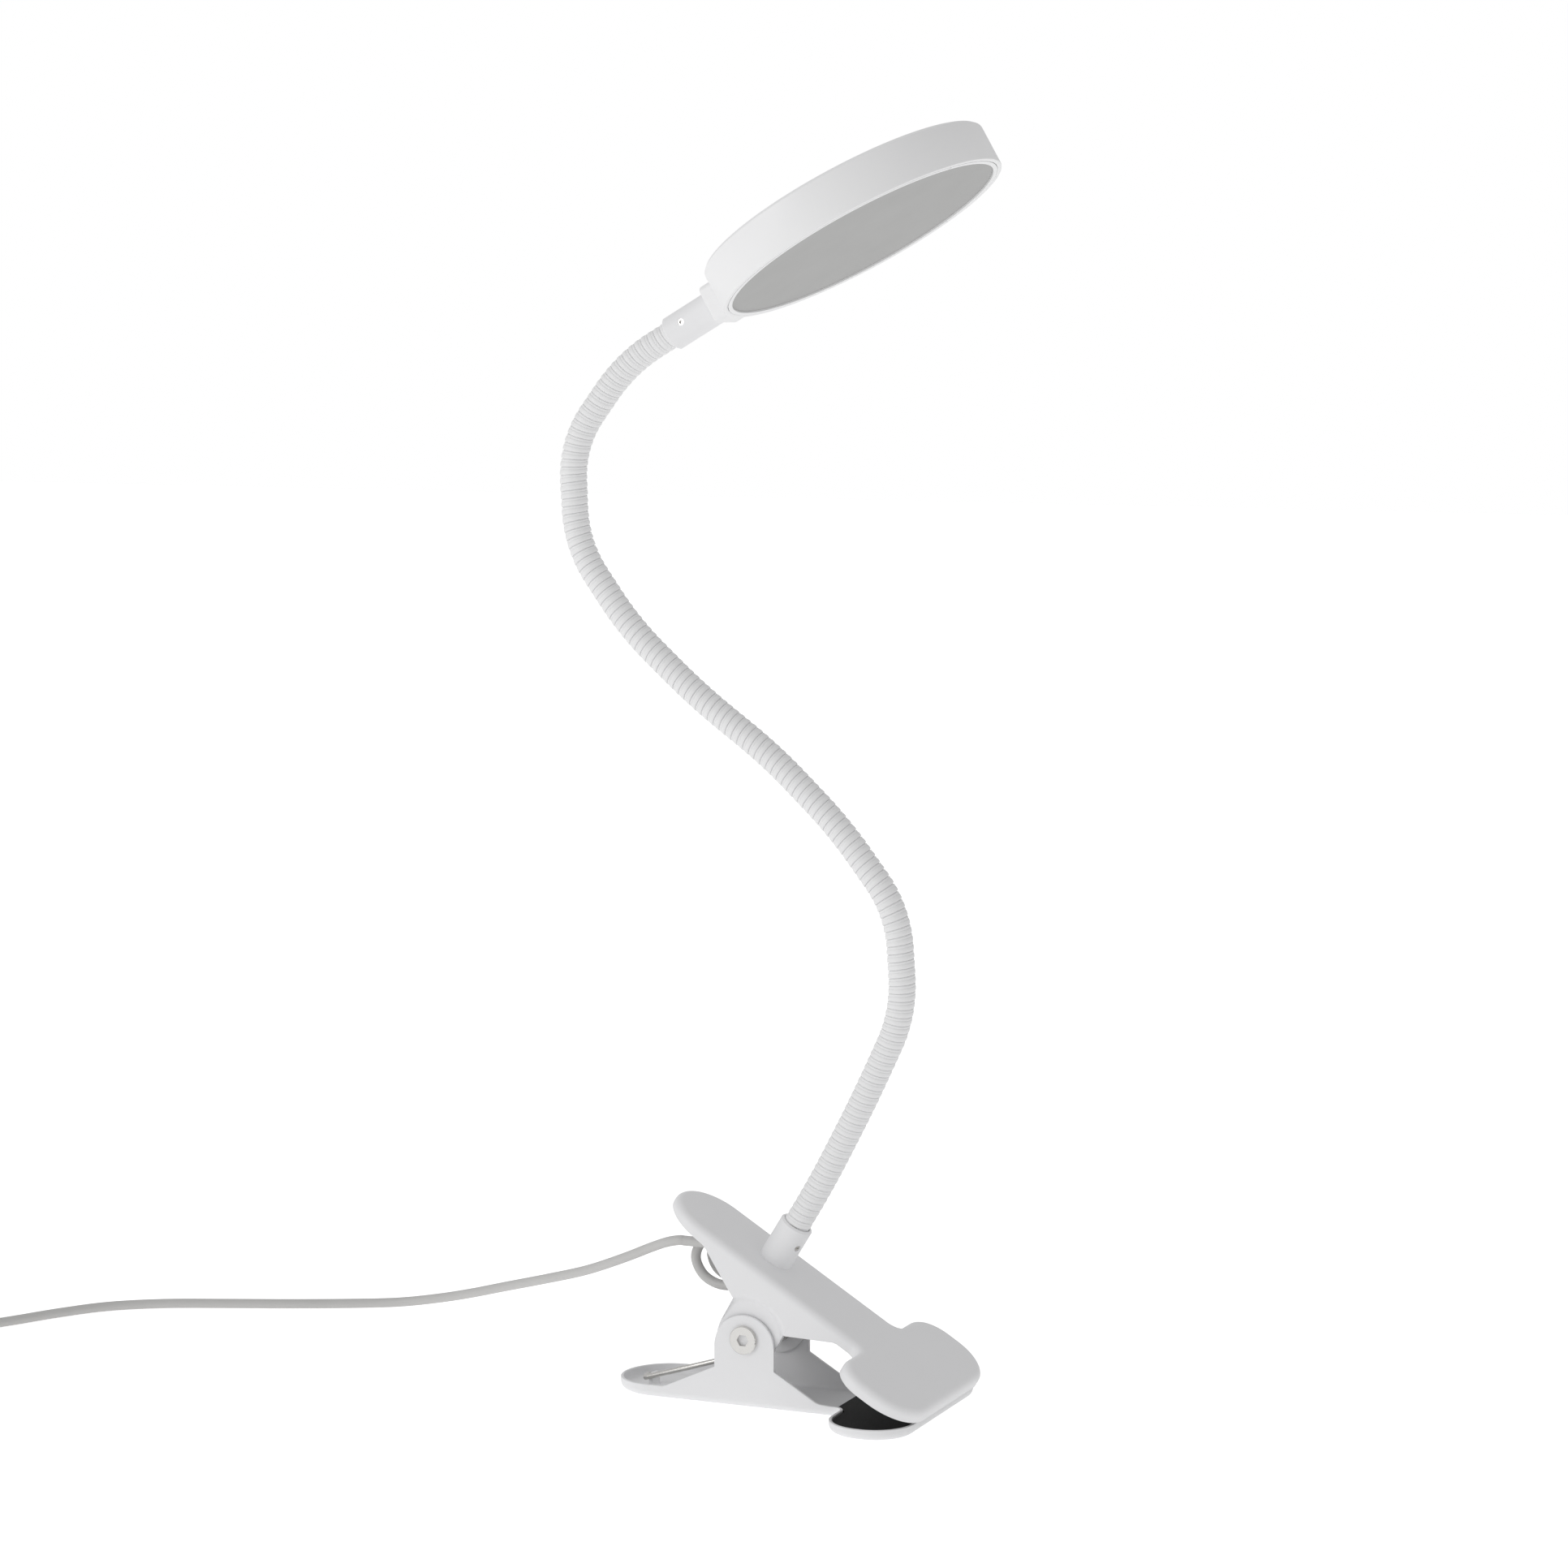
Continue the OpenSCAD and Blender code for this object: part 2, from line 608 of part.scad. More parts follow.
// A lever's outline in plan: round back end, straight sides, hollow corners and a wide jaw
module lever_plan(inset, back, front, jaw_w, back_r, front_r) {
    hw = half_w - inset;
    jw = jaw_w / 2;
    translate([back + half_w, 0]) circle(r = hw);
    translate([back + half_w, -hw]) square([jaw_back + 4 - back - half_w, 2 * hw]);
    difference() {
        translate([jaw_back - web_r, -half_w - web_r]) square([web_r + inset + eps, 2 * (half_w + web_r)]);
        for (y = [-1, 1]) translate([jaw_back - web_r, y * (half_w + web_r)]) circle(r = web_r + inset);
    }
    translate([jaw_back + inset, back_r - jw]) square([front - front_r - jaw_back - inset, 2 * (jw - back_r)]);
    translate([jaw_back + back_r, inset - jw]) square([front - jaw_back - back_r - front_r, 2 * (jw - inset)]);
    translate([jaw_back + back_r, front_r - jw]) square([front - jaw_back - back_r - inset, 2 * (jw - front_r)]);
    for (y = [-1, 1]) {
        translate([jaw_back + back_r, y * (jw - back_r)]) circle(r = back_r - inset);
        translate([front - front_r, y * (jw - front_r)]) circle(r = front_r - inset);
    }
}

module upper_plan(inset) {
    lever_plan(inset, upper_back, upper_front, upper_jaw_w, jaw_back_r, jaw_front_r);
}

module lower_plan(inset) {
    lever_plan(inset, -handle_reach, jaw_reach, lower_jaw_w, lower_corner_r, lower_corner_r);
}

// Side view of the upper lever's rim and sides, x along the lever, y up from the pivot
module upper_side() {
    polygon([
        [upper_back - 1, top_h - 4], [-31, top_h - 5.5], [-12, 10.6], [-ear_r, 0], [ear_r, 0],
        [ear_r, 10.4], [29, top_h - upper_rim], [upper_front + 1, top_h - upper_rim],
        [upper_front + 1, top_h], [upper_back - 1, top_h]
    ]);
}

module side_slab(y, t) {
    for (s = [-1, 1]) translate([0, s * (y + t / 2), 0]) rotate([90, 0, 0]) translate([0, 0, -t / 2])
        linear_extrude(t) children();
}

module upper_lever() {
    color(white) on_lever() difference() {
        union() {
            translate([0, 0, upper_under]) linear_extrude(sheet_t) upper_plan(0);
            difference() {
                linear_extrude(top_h) difference() {
                    upper_plan(0);
                    upper_plan(sheet_t);
                }
                rotate([90, 0, 0]) translate([0, 0, -upper_jaw_w]) linear_extrude(2 * upper_jaw_w)
                    difference() {
                        translate([upper_back - 2, -1]) square([upper_front - upper_back + 4, top_h + 1 - sheet_t / 2]);
                        difference() {
                            upper_side();
                            circle(r = joggle_r);
                        }
                    }
            }
            side_slab(upper_ear_y - sheet_t, sheet_t) {
                circle(r = ear_r);
                intersection() {
                    upper_side();
                    circle(r = joggle_r + sheet_t);
                }
            }
            side_slab(upper_ear_y - eps, half_w - upper_ear_y + eps) intersection() {
                upper_side();
                difference() {
                    circle(r = joggle_r + sheet_t);
                    circle(r = joggle_r);
                }
            }
        }
        rotate([90, 0, 0]) cylinder(r = bush_r + run_gap, h = 2 * lever_w, center = true);
        translate([sleeve_x, 0, 0]) cylinder(r = spigot_r + 0.2, h = top_h + 1);
    }
}

module upper_pad() {
    color(black) on_lever() translate([0, 0, upper_under - upper_pad_t]) linear_extrude(upper_pad_t) intersection() {
        upper_plan(sheet_t + pad_inset);
        translate([jaw_back - 2, -upper_jaw_w]) square([upper_front, 2 * upper_jaw_w]);
    }
}

// Side view of the lower lever: low rim, ears with a round top, slope down to the jaw
module lower_side() {
    ear_z = pivot_h - lower_ear_drop;
    translate([0, ear_z]) circle(r = lower_ear_r);
    polygon([
        [-handle_reach - 1, 0], [-handle_reach - 1, rear_rim], [-32, rear_rim + 0.4], [-lower_ear_r, 14],
        [-lower_ear_r, ear_z], [lower_ear_r, ear_z], [lower_ear_r, 14.3], [28.8, 4.2], [34.2, lower_rim - 0.2],
        [37, lower_rim], [jaw_reach + 1, lower_rim], [jaw_reach + 1, 0]
    ]);
}

module lower_lever() {
    color(white) difference() {
        union() {
            linear_extrude(sheet_t) lower_plan(0);
            difference() {
                linear_extrude(pivot_h + lower_ear_r) difference() {
                    lower_plan(0);
                    lower_plan(sheet_t);
                }
                rotate([90, 0, 0]) translate([0, 0, -lower_jaw_w]) linear_extrude(2 * lower_jaw_w) difference() {
                    translate([-handle_reach - 2, sheet_t / 2]) square([handle_reach + jaw_reach + 4, pivot_h + lower_ear_r]);
                    lower_side();
                }
            }
            spring_tab();
        }
        spring_tab_slot();
        translate([0, 0, pivot_h]) rotate([90, 0, 0]) cylinder(r = screw_r + run_gap, h = 2 * lever_w, center = true);
    }
}

// Lanced tab that keeps the spring's lower leg in place, and the slot it was bent out of
module spring_tab() {
    translate([tab_x, tab_y, 0]) cube([sheet_t, tab_w, sheet_t + tab_h]);
}

module spring_tab_slot() {
    translate([tab_x + sheet_t, tab_y, -sheet_t]) cube([tab_h + bend_loss, tab_w, 3 * sheet_t]);
}

module lower_pad() {
    color(black) translate([0, 0, sheet_t]) linear_extrude(pad_t) intersection() {
        lower_plan(sheet_t + pad_inset);
        translate([jaw_back - 3.2, -lower_jaw_w]) square([jaw_reach, 2 * lower_jaw_w]);
    }
}

module pivot_screws() {
    color(steel) translate([0, 0, pivot_h]) for (s = [0, 1]) mirror([0, s, 0])
        translate([0, -half_w, 0]) rotate([90, 0, 0]) difference() {
            union() {
                cylinder(r = pivot_head_d / 2, h = pivot_head_t - 0.3);
                translate([0, 0, pivot_head_t - 0.3])
                    cylinder(r1 = pivot_head_d / 2, r2 = pivot_head_d / 2 - 0.3, h = 0.3);
                translate([0, 0, -pivot_screw_len]) cylinder(r = screw_r, h = pivot_screw_len + eps);
            }
            translate([0, 0, -1.6]) linear_extrude(4) hexagon(pivot_hex);
        }
}

module pivot_bush() {
    length = 2 * inner_w;
    color(steel) translate([0, length / 2, pivot_h]) rotate([90, 0, 0]) tube(bush_r, screw_r, length);
}

module pivot_washers() {
    color([0.9, 0.9, 0.88]) translate([0, 0, pivot_h]) for (s = [0, 1]) mirror([0, s, 0])
        translate([0, -upper_ear_y - run_gap, 0]) rotate([90, 0, 0]) tube(washer_r, bush_r + run_gap, washer_t);
}

// A straight round wire from one point to another
module wire(from, to) {
    d = to - from;
    translate(from) rotate([0, acos(d[2] / norm(d)), atan2(d[1], d[0])]) cylinder(r = wire_r, h = norm(d));
}

// One leg: straight out of the coil, then a short hook across the clip
module spring_leg(from, corner, hook) {
    wire(from, corner);
    translate(corner) sphere(r = wire_r + hair);
    wire(corner, corner + [0, hook, 0]);
}

module torsion_spring() {
    upper_end = along_lever(upper_leg_along, upper_under - wire_r - 0.1);
    color(steel) {
        translate([0, spring_far + wire_r, pivot_h]) rotate([90, 0, 0])
            tube(coil_r + wire_r, coil_r - wire_r, spring_far - spring_near + wire_d);
        spring_leg([-coil_r * 0.45, spring_near, pivot_h - coil_r * 0.89], lower_leg_end + [0, spring_near, 0], 4);
        spring_leg([-coil_r * 0.5, spring_far, pivot_h + coil_r * 0.86], upper_end + [0, spring_far, 0], -4);
    }
}

// ---- lead ----

module lead_knot() {
    color(grey_lead) lead_tube(knot_route, 2);
}

module lead_bend() {
    color(grey_lead) lead_tube(bend_route, 2);
}

module lead_run() {
    color(grey_lead) lead_tube(run_route, 2);
}

module lead_coil() {
    color(grey_lead) translate([coil_at[0], coil_at[1], coil_lift]) rotate_extrude($fn = 96)
        translate([coil_mid_r, coil_h / 2]) round_bar(coil_w, coil_h, lead_r);
}

module coil_tie() {
    color(black) translate([coil_at[0], coil_at[1], coil_lift + coil_h / 2]) rotate([0, 0, tie_turn])
        translate([coil_mid_r, tie_w / 2, 0]) rotate([90, 0, 0]) linear_extrude(tie_w) difference() {
            square([coil_w + tie_slack + 2 * tie_t, coil_h + 2 * tie_t], center = true);
            square([coil_w + tie_slack, coil_h], center = true);
        }
}

module lead_tail_in() {
    color(grey_lead) lead_tube(tail_in_route, 1);
}

module lead_tail_out() {
    color(grey_lead) lead_tube(tail_out_route, 1);
}

// Tapered sleeve that stands on z = 0 and lets the lead out of its tip
module relief() {
    difference() {
        cylinder(r1 = relief_r, r2 = relief_tip_r, h = relief_len);
        translate([0, 0, -1]) cylinder(r = lead_r + run_gap, h = relief_len + 2);
    }
}

module lead_reliefs() {
    color(grey_lead) {
        translate([switch_at[0], switch_near, switch_mid_z]) rotate([90, 0, 0]) relief();
        translate([switch_at[0], switch_far, switch_mid_z]) rotate([-90, 0, 0]) relief();
        translate([plug_x, plug_back, plug_z]) rotate([-90, 0, 0]) relief();
    }
}

// What both halves of the switch leave free: the inside and the lead's two holes
module switch_inside() {
    translate([0, 0, switch_wall]) linear_extrude(switch_h - 2 * switch_wall)
        round_bar(switch_w - 2 * switch_wall, switch_len - 2 * switch_wall, 2.5);
    translate([0, 0, switch_mid_z]) rotate([90, 0, 0]) cylinder(r = lead_r + seat_gap, h = switch_len + 2, center = true);
}

module switch_base() {
    color(white) translate(switch_at) difference() {
        linear_extrude(switch_mid_z) round_bar(switch_w, switch_len, 4);
        switch_inside();
    }
}

module switch_cover() {
    color(white) translate(switch_at) difference() {
        translate([0, 0, switch_mid_z]) linear_extrude(switch_h - switch_mid_z) round_bar(switch_w, switch_len, 4);
        switch_inside();
        translate([0, 0, switch_h - 2 * switch_wall]) linear_extrude(3 * switch_wall)
            round_bar(button_w + 2 * slide_gap, button_len + 2 * slide_gap, 3 + slide_gap);
    }
}

module switch_button() {
    bottom = switch_h - switch_wall - slide_gap - button_flange;
    color([0.8, 0.8, 0.8]) translate(switch_at) {
        translate([0, 0, bottom]) linear_extrude(button_flange)
            round_bar(button_w + 2, button_len + 2, 3);
        translate([0, 0, bottom]) linear_extrude(switch_h + button_up + button_travel - bottom)
            round_bar(button_w, button_len, 3);
    }
}

// Board with the contact block that the button's underside nearly reaches when pressed
module switch_board() {
    top = switch_h - switch_wall - slide_gap - button_flange - button_travel - slide_gap;
    color([0.2, 0.5, 0.3]) translate(switch_at) {
        translate([0, 0, switch_wall]) linear_extrude(board_t) square([switch_w - 6, switch_len - 16], center = true);
        translate([0, 0, switch_wall]) linear_extrude(top - switch_wall) square([6, 6], center = true);
    }
}

module plug_body() {
    color(white) translate([plug_x, plug_back, plug_z]) rotate([90, 0, 0]) difference() {
        linear_extrude(plug_len) round_bar(plug_w, plug_h, 2);
        translate([0, 0, plug_len - usb_in]) linear_extrude(usb_in + 1) square([usb_w, usb_h], center = true);
        translate([0, 0, -1]) cylinder(r = lead_r + run_gap, h = lead_in + 1.5);
    }
}

// The plug's metal shell, closed at its inner end
module plug_shell() {
    color(steel) translate([plug_x, plug_back - plug_len + usb_in, plug_z]) rotate([90, 0, 0]) difference() {
        linear_extrude(usb_in + usb_out) square([usb_w, usb_h], center = true);
        translate([0, 0, 1]) linear_extrude(usb_in + usb_out)
            square([usb_w - 2 * usb_wall, usb_h - 2 * usb_wall], center = true);
    }
}

module plug_tongue() {
    color(white) translate([plug_x, plug_back - plug_len + usb_in - 1, plug_z + 0.8]) rotate([90, 0, 0])
        linear_extrude(usb_in + usb_out - 1.5) square([usb_w - 2 * usb_wall - 0.2, 1.8], center = true);
}

head_housing();
trim_ring();
diffuser();
reflector_ring();
led_board();
leds();
board_screws();
neck_block();
neck_screws();
upper_sleeve();
upper_grub_screw();
for (i = [1 : link_count]) {
    gooseneck_link(i - 1);
    lead_core(i - 1);
}
lower_sleeve();
lower_grub_screw();
sleeve_nut();
lead_grommet();
upper_lever();
upper_pad();
lower_lever();
lower_pad();
pivot_screws();
pivot_bush();
pivot_washers();
torsion_spring();
lead_knot();
lead_bend();
lead_run();
lead_coil();
coil_tie();
lead_tail_in();
lead_reliefs();
switch_base();
switch_cover();
switch_button();
switch_board();
lead_tail_out();
plug_body();
plug_shell();
plug_tongue();
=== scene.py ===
import math

import bmesh
import bpy
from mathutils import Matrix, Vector


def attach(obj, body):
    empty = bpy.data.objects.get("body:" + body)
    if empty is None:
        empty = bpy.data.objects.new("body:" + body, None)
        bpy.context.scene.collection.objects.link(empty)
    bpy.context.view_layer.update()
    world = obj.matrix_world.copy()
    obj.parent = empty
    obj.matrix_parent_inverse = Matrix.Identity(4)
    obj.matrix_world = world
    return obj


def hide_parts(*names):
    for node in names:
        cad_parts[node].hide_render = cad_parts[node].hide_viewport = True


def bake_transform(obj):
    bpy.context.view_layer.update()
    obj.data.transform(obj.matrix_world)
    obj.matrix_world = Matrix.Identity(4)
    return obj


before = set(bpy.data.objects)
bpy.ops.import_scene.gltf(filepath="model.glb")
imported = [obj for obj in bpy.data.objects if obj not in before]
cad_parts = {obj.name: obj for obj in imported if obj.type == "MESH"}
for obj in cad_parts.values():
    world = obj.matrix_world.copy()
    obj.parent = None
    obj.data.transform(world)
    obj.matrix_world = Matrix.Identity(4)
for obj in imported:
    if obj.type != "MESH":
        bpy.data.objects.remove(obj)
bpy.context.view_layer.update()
mm = 0.001

# Sizes and route points that the clip, hose and lead share with the CAD source, in millimetres
clip = {
    "pivotHeight": 25.0, "tilt": 31.5, "halfWidth": 17.0, "sheet": 1.2, "bendRadius": 2.6,
    "jawBack": 39.0, "webRadius": 4.5,
}
hose = {
    "bends": [-4, -2.5, -29, -34, -9, -7.5, 6, 12.5, 33.5, 39.5, 23], "linkLength": 35.9, "stub": 5.0,
    "sleeveX": -9.5, "sleeveMouth": 42.0, "radius": 4.98, "pitch": 2.85, "around": 44, "seat": 8.0,
    "tip": 2.6,
}
lead = {"radius": 1.85, "around": 14, "coilCentre": (-353.0, -40.0), "coilRadius": 22.0, "coilLift": 0.7}


def rotated(x, z, heading):
    a = math.radians(heading)
    return x * math.cos(a) + z * math.sin(a), z * math.cos(a) - x * math.sin(a)


def onLever(x, y, z):
    px, pz = rotated(x, z, clip["tilt"])
    return Vector((px, y, pz + clip["pivotHeight"])) * mm


def meshPiece(name, verts, faces, material, smoothAngle=35):
    mesh = bpy.data.meshes.new(name)
    mesh.from_pydata([tuple(v) for v in verts], [], faces)
    bm = bmesh.new()
    bm.from_mesh(mesh)
    bmesh.ops.recalc_face_normals(bm, faces=bm.faces)
    bm.to_mesh(mesh)
    bm.free()
    mesh.shade_smooth()
    mesh.set_sharp_from_angle(angle=math.radians(smoothAngle))
    mesh.materials.append(material)
    piece = bpy.data.objects.new(name, mesh)
    bpy.context.scene.collection.objects.link(piece)
    return piece


def nodeGroup(name, kind, wanted):
    group = bpy.data.node_groups.new(name, kind)
    for label, (way, socketType) in wanted.items():
        group.interface.new_socket(label, in_out=way, socket_type=socketType)
    return group, group.nodes.new("NodeGroupInput").outputs, group.nodes.new("NodeGroupOutput").inputs


def maths(group, operation, *values):
    node = group.nodes.new("ShaderNodeMath")
    node.operation = operation
    for socket, value in zip(node.inputs, values):
        if isinstance(value, bpy.types.NodeSocket):
            group.links.new(value, socket)
        else:
            socket.default_value = value
    return node.outputs[0]


def vectorMaths(group, operation, first, second=None, scale=None):
    node = group.nodes.new("ShaderNodeVectorMath")
    node.operation = operation
    for socket, value in ((node.inputs[0], first), (node.inputs[1], second), (node.inputs[3], scale)):
        if isinstance(value, bpy.types.NodeSocket):
            group.links.new(value, socket)
        elif value is not None:
            socket.default_value = value
    return node.outputs[0]


def finishShape(group, geometry, material, result):
    realize, dress = (group.nodes.new("GeometryNode" + kind) for kind in ("RealizeInstances", "SetMaterial"))
    group.links.new(geometry, realize.inputs["Geometry"])
    group.links.new(realize.outputs["Geometry"], dress.inputs["Geometry"])
    group.links.new(material, dress.inputs["Material"])
    group.links.new(dress.outputs["Geometry"], result)


def shapedPiece(name, group, points, edges, settings, smoothAngle):
    mesh = bpy.data.meshes.new(name)
    mesh.from_pydata([tuple(p) for p in points], edges, [])
    piece = bpy.data.objects.new(name, mesh)
    bpy.context.scene.collection.objects.link(piece)
    shape = piece.modifiers.new("shape", "NODES")
    shape.node_group = group
    for item in group.interface.items_tree:
        if item.in_out == "INPUT" and item.name in settings:
            shape[item.identifier] = settings[item.name]
    bpy.context.view_layer.update()
    made = bpy.data.meshes.new_from_object(piece.evaluated_get(bpy.context.evaluated_depsgraph_get()))
    piece.modifiers.remove(shape)
    piece.data = made
    made.name = name
    bm = bmesh.new()
    bm.from_mesh(made)
    bmesh.ops.recalc_face_normals(bm, faces=bm.faces)
    bm.to_mesh(made)
    bm.free()
    made.shade_smooth()
    made.set_sharp_from_angle(angle=math.radians(smoothAngle))
    return piece


def grainGroup():
    group = bpy.data.node_groups.new("surfaceGrain", "ShaderNodeTree")
    for name, kind, default in (("Scale", "NodeSocketFloat", 900.0), ("Depth", "NodeSocketFloat", 0.02),
                                ("Blotch Scale", "NodeSocketFloat", 40.0)):
        socket = group.interface.new_socket(name, in_out="INPUT", socket_type=kind)
        socket.default_value = default
    group.interface.new_socket("Grain", in_out="OUTPUT", socket_type="NodeSocketFloat")
    group.interface.new_socket("Blotch", in_out="OUTPUT", socket_type="NodeSocketFloat")
    group.interface.new_socket("Normal", in_out="OUTPUT", socket_type="NodeSocketVector")
    nodes, links = group.nodes, group.links
    inputs, outputs = nodes.new("NodeGroupInput"), nodes.new("NodeGroupOutput")
    place = nodes.new("ShaderNodeTexCoord")
    grain, blotch, bump = (nodes.new("ShaderNode" + kind) for kind in ("TexNoise", "TexNoise", "Bump"))
    grain.inputs["Detail"].default_value = 3.0
    blotch.inputs["Detail"].default_value = 4.0
    bump.inputs["Distance"].default_value = 0.0002
    for noise, scale in ((grain, "Scale"), (blotch, "Blotch Scale")):
        links.new(place.outputs["Object"], noise.inputs["Vector"])
        links.new(inputs.outputs[scale], noise.inputs["Scale"])
    links.new(grain.outputs["Fac"], bump.inputs["Height"])
    links.new(inputs.outputs["Depth"], bump.inputs["Strength"])
    links.new(grain.outputs["Fac"], outputs.inputs["Grain"])
    links.new(blotch.outputs["Fac"], outputs.inputs["Blotch"])
    links.new(bump.outputs["Normal"], outputs.inputs["Normal"])
    return group


def surface(name, colour, shade=0.03, roughness=(0.4, 0.5), metallic=0.0, grainScale=900.0, depth=0.05,
            blotchScale=40.0, specular=0.5, subsurface=0.0):
    material = bpy.data.materials.new(name)
    material.use_nodes = True
    nodes, links = material.node_tree.nodes, material.node_tree.links
    shader = nodes["Principled BSDF"]
    grain = nodes.new("ShaderNodeGroup")
    grain.node_tree = surfaceGrain
    grain.inputs["Scale"].default_value = grainScale
    grain.inputs["Depth"].default_value = depth
    grain.inputs["Blotch Scale"].default_value = blotchScale
    tint = nodes.new("ShaderNodeMix")
    tint.data_type = "RGBA"
    low = [c * (1 - shade) for c in colour]
    high = [min(1.0, c * (1 + shade)) for c in colour]
    tint.inputs["A"].default_value = (*low, 1)
    tint.inputs["B"].default_value = (*high, 1)
    gloss = nodes.new("ShaderNodeMapRange")
    gloss.inputs["To Min"].default_value, gloss.inputs["To Max"].default_value = roughness
    links.new(grain.outputs["Blotch"], tint.inputs["Factor"])
    links.new(tint.outputs["Result"], shader.inputs["Base Color"])
    links.new(grain.outputs["Grain"], gloss.inputs["Value"])
    links.new(gloss.outputs["Result"], shader.inputs["Roughness"])
    links.new(grain.outputs["Normal"], shader.inputs["Normal"])
    shader.inputs["Metallic"].default_value = metallic
    shader.inputs["Specular IOR Level"].default_value = specular
    if subsurface:
        shader.inputs["Subsurface Weight"].default_value = subsurface
        shader.inputs["Subsurface Scale"].default_value = 0.002
    return material


surfaceGrain = grainGroup()
whitePaint = surface("whitePaint", (0.84, 0.84, 0.85), shade=0.012, roughness=(0.42, 0.55), depth=0.08,
                     grainScale=1400)
hosePaint = surface("hosePaint", (0.84, 0.84, 0.845), shade=0.015, roughness=(0.38, 0.5), depth=0.05,
                    grainScale=2200)
whitePlastic = surface("whitePlastic", (0.87, 0.87, 0.875), shade=0.01, roughness=(0.35, 0.45), depth=0.04,
                       grainScale=1800)
diffuserSheet = surface("diffuserSheet", (0.41, 0.41, 0.405), shade=0.06, roughness=(0.5, 0.62), depth=0.05,
                        grainScale=2600, blotchScale=55)
reflectorWhite = surface("reflectorWhite", (0.9, 0.9, 0.9), roughness=(0.2, 0.3))
boardWhite = surface("boardWhite", (0.82, 0.84, 0.82), roughness=(0.35, 0.45))
phosphor = surface("phosphor", (0.9, 0.75, 0.3), roughness=(0.4, 0.5), grainScale=4000)
nickel = surface("nickel", (0.72, 0.71, 0.69), shade=0.03, roughness=(0.16, 0.3), metallic=1.0, depth=0.06,
                 grainScale=3000, blotchScale=300)
springSteel = surface("springSteel", (0.6, 0.59, 0.57), shade=0.08, roughness=(0.18, 0.32), metallic=1.0,
                      depth=0.06, grainScale=2500, blotchScale=500)
padRubber = surface("padRubber", (0.0065, 0.0065, 0.007), shade=0.2, roughness=(0.6, 0.85), depth=0.35,
                    grainScale=2600, blotchScale=120, specular=0.25)
leadJacket = surface("leadJacket", (0.55, 0.545, 0.535), shade=0.03, roughness=(0.36, 0.48), depth=0.06,
                     grainScale=2400, blotchScale=150)
nylon = surface("nylon", (0.8, 0.8, 0.76), roughness=(0.4, 0.5))
buttonGrey = surface("buttonGrey", (0.62, 0.62, 0.62), roughness=(0.5, 0.6), depth=0.2, grainScale=3000)
boardGreen = surface("boardGreen", (0.03, 0.16, 0.07), shade=0.15, roughness=(0.3, 0.4), blotchScale=600)
print("materials made")


def lookFrom(place, target, name, fieldOfView):
    camera = bpy.data.cameras.new(name)
    camera.sensor_width = 36.0
    camera.lens = 18.0 / math.tan(math.radians(fieldOfView / 2))
    camera.clip_start = 0.05
    eye = bpy.data.objects.new(name, camera)
    bpy.context.scene.collection.objects.link(eye)
    eye.location = place
    eye.rotation_euler = (Vector(target) - Vector(place)).to_track_quat("-Z", "Y").to_euler()
    bpy.context.scene.camera = eye


def areaLight(name, place, target, size, power):
    lamp = bpy.data.lights.new(name, "AREA")
    lamp.shape = "DISK"
    lamp.size = size
    lamp.energy = power
    holder = bpy.data.objects.new(name, lamp)
    bpy.context.scene.collection.objects.link(holder)
    holder.location = place
    holder.rotation_euler = (Vector(target) - Vector(place)).to_track_quat("-Z", "Y").to_euler()


studio = {
    "skyLeft": 0.74, "skyRight": 0.50, "keyPower": 7.3, "keyPlace": (-1.5, -1.7, 0.9), "keySize": 1.1,
    "floorSeen": 0.66, "floorGlow": 0.36, "floorReach": 6.0,
}


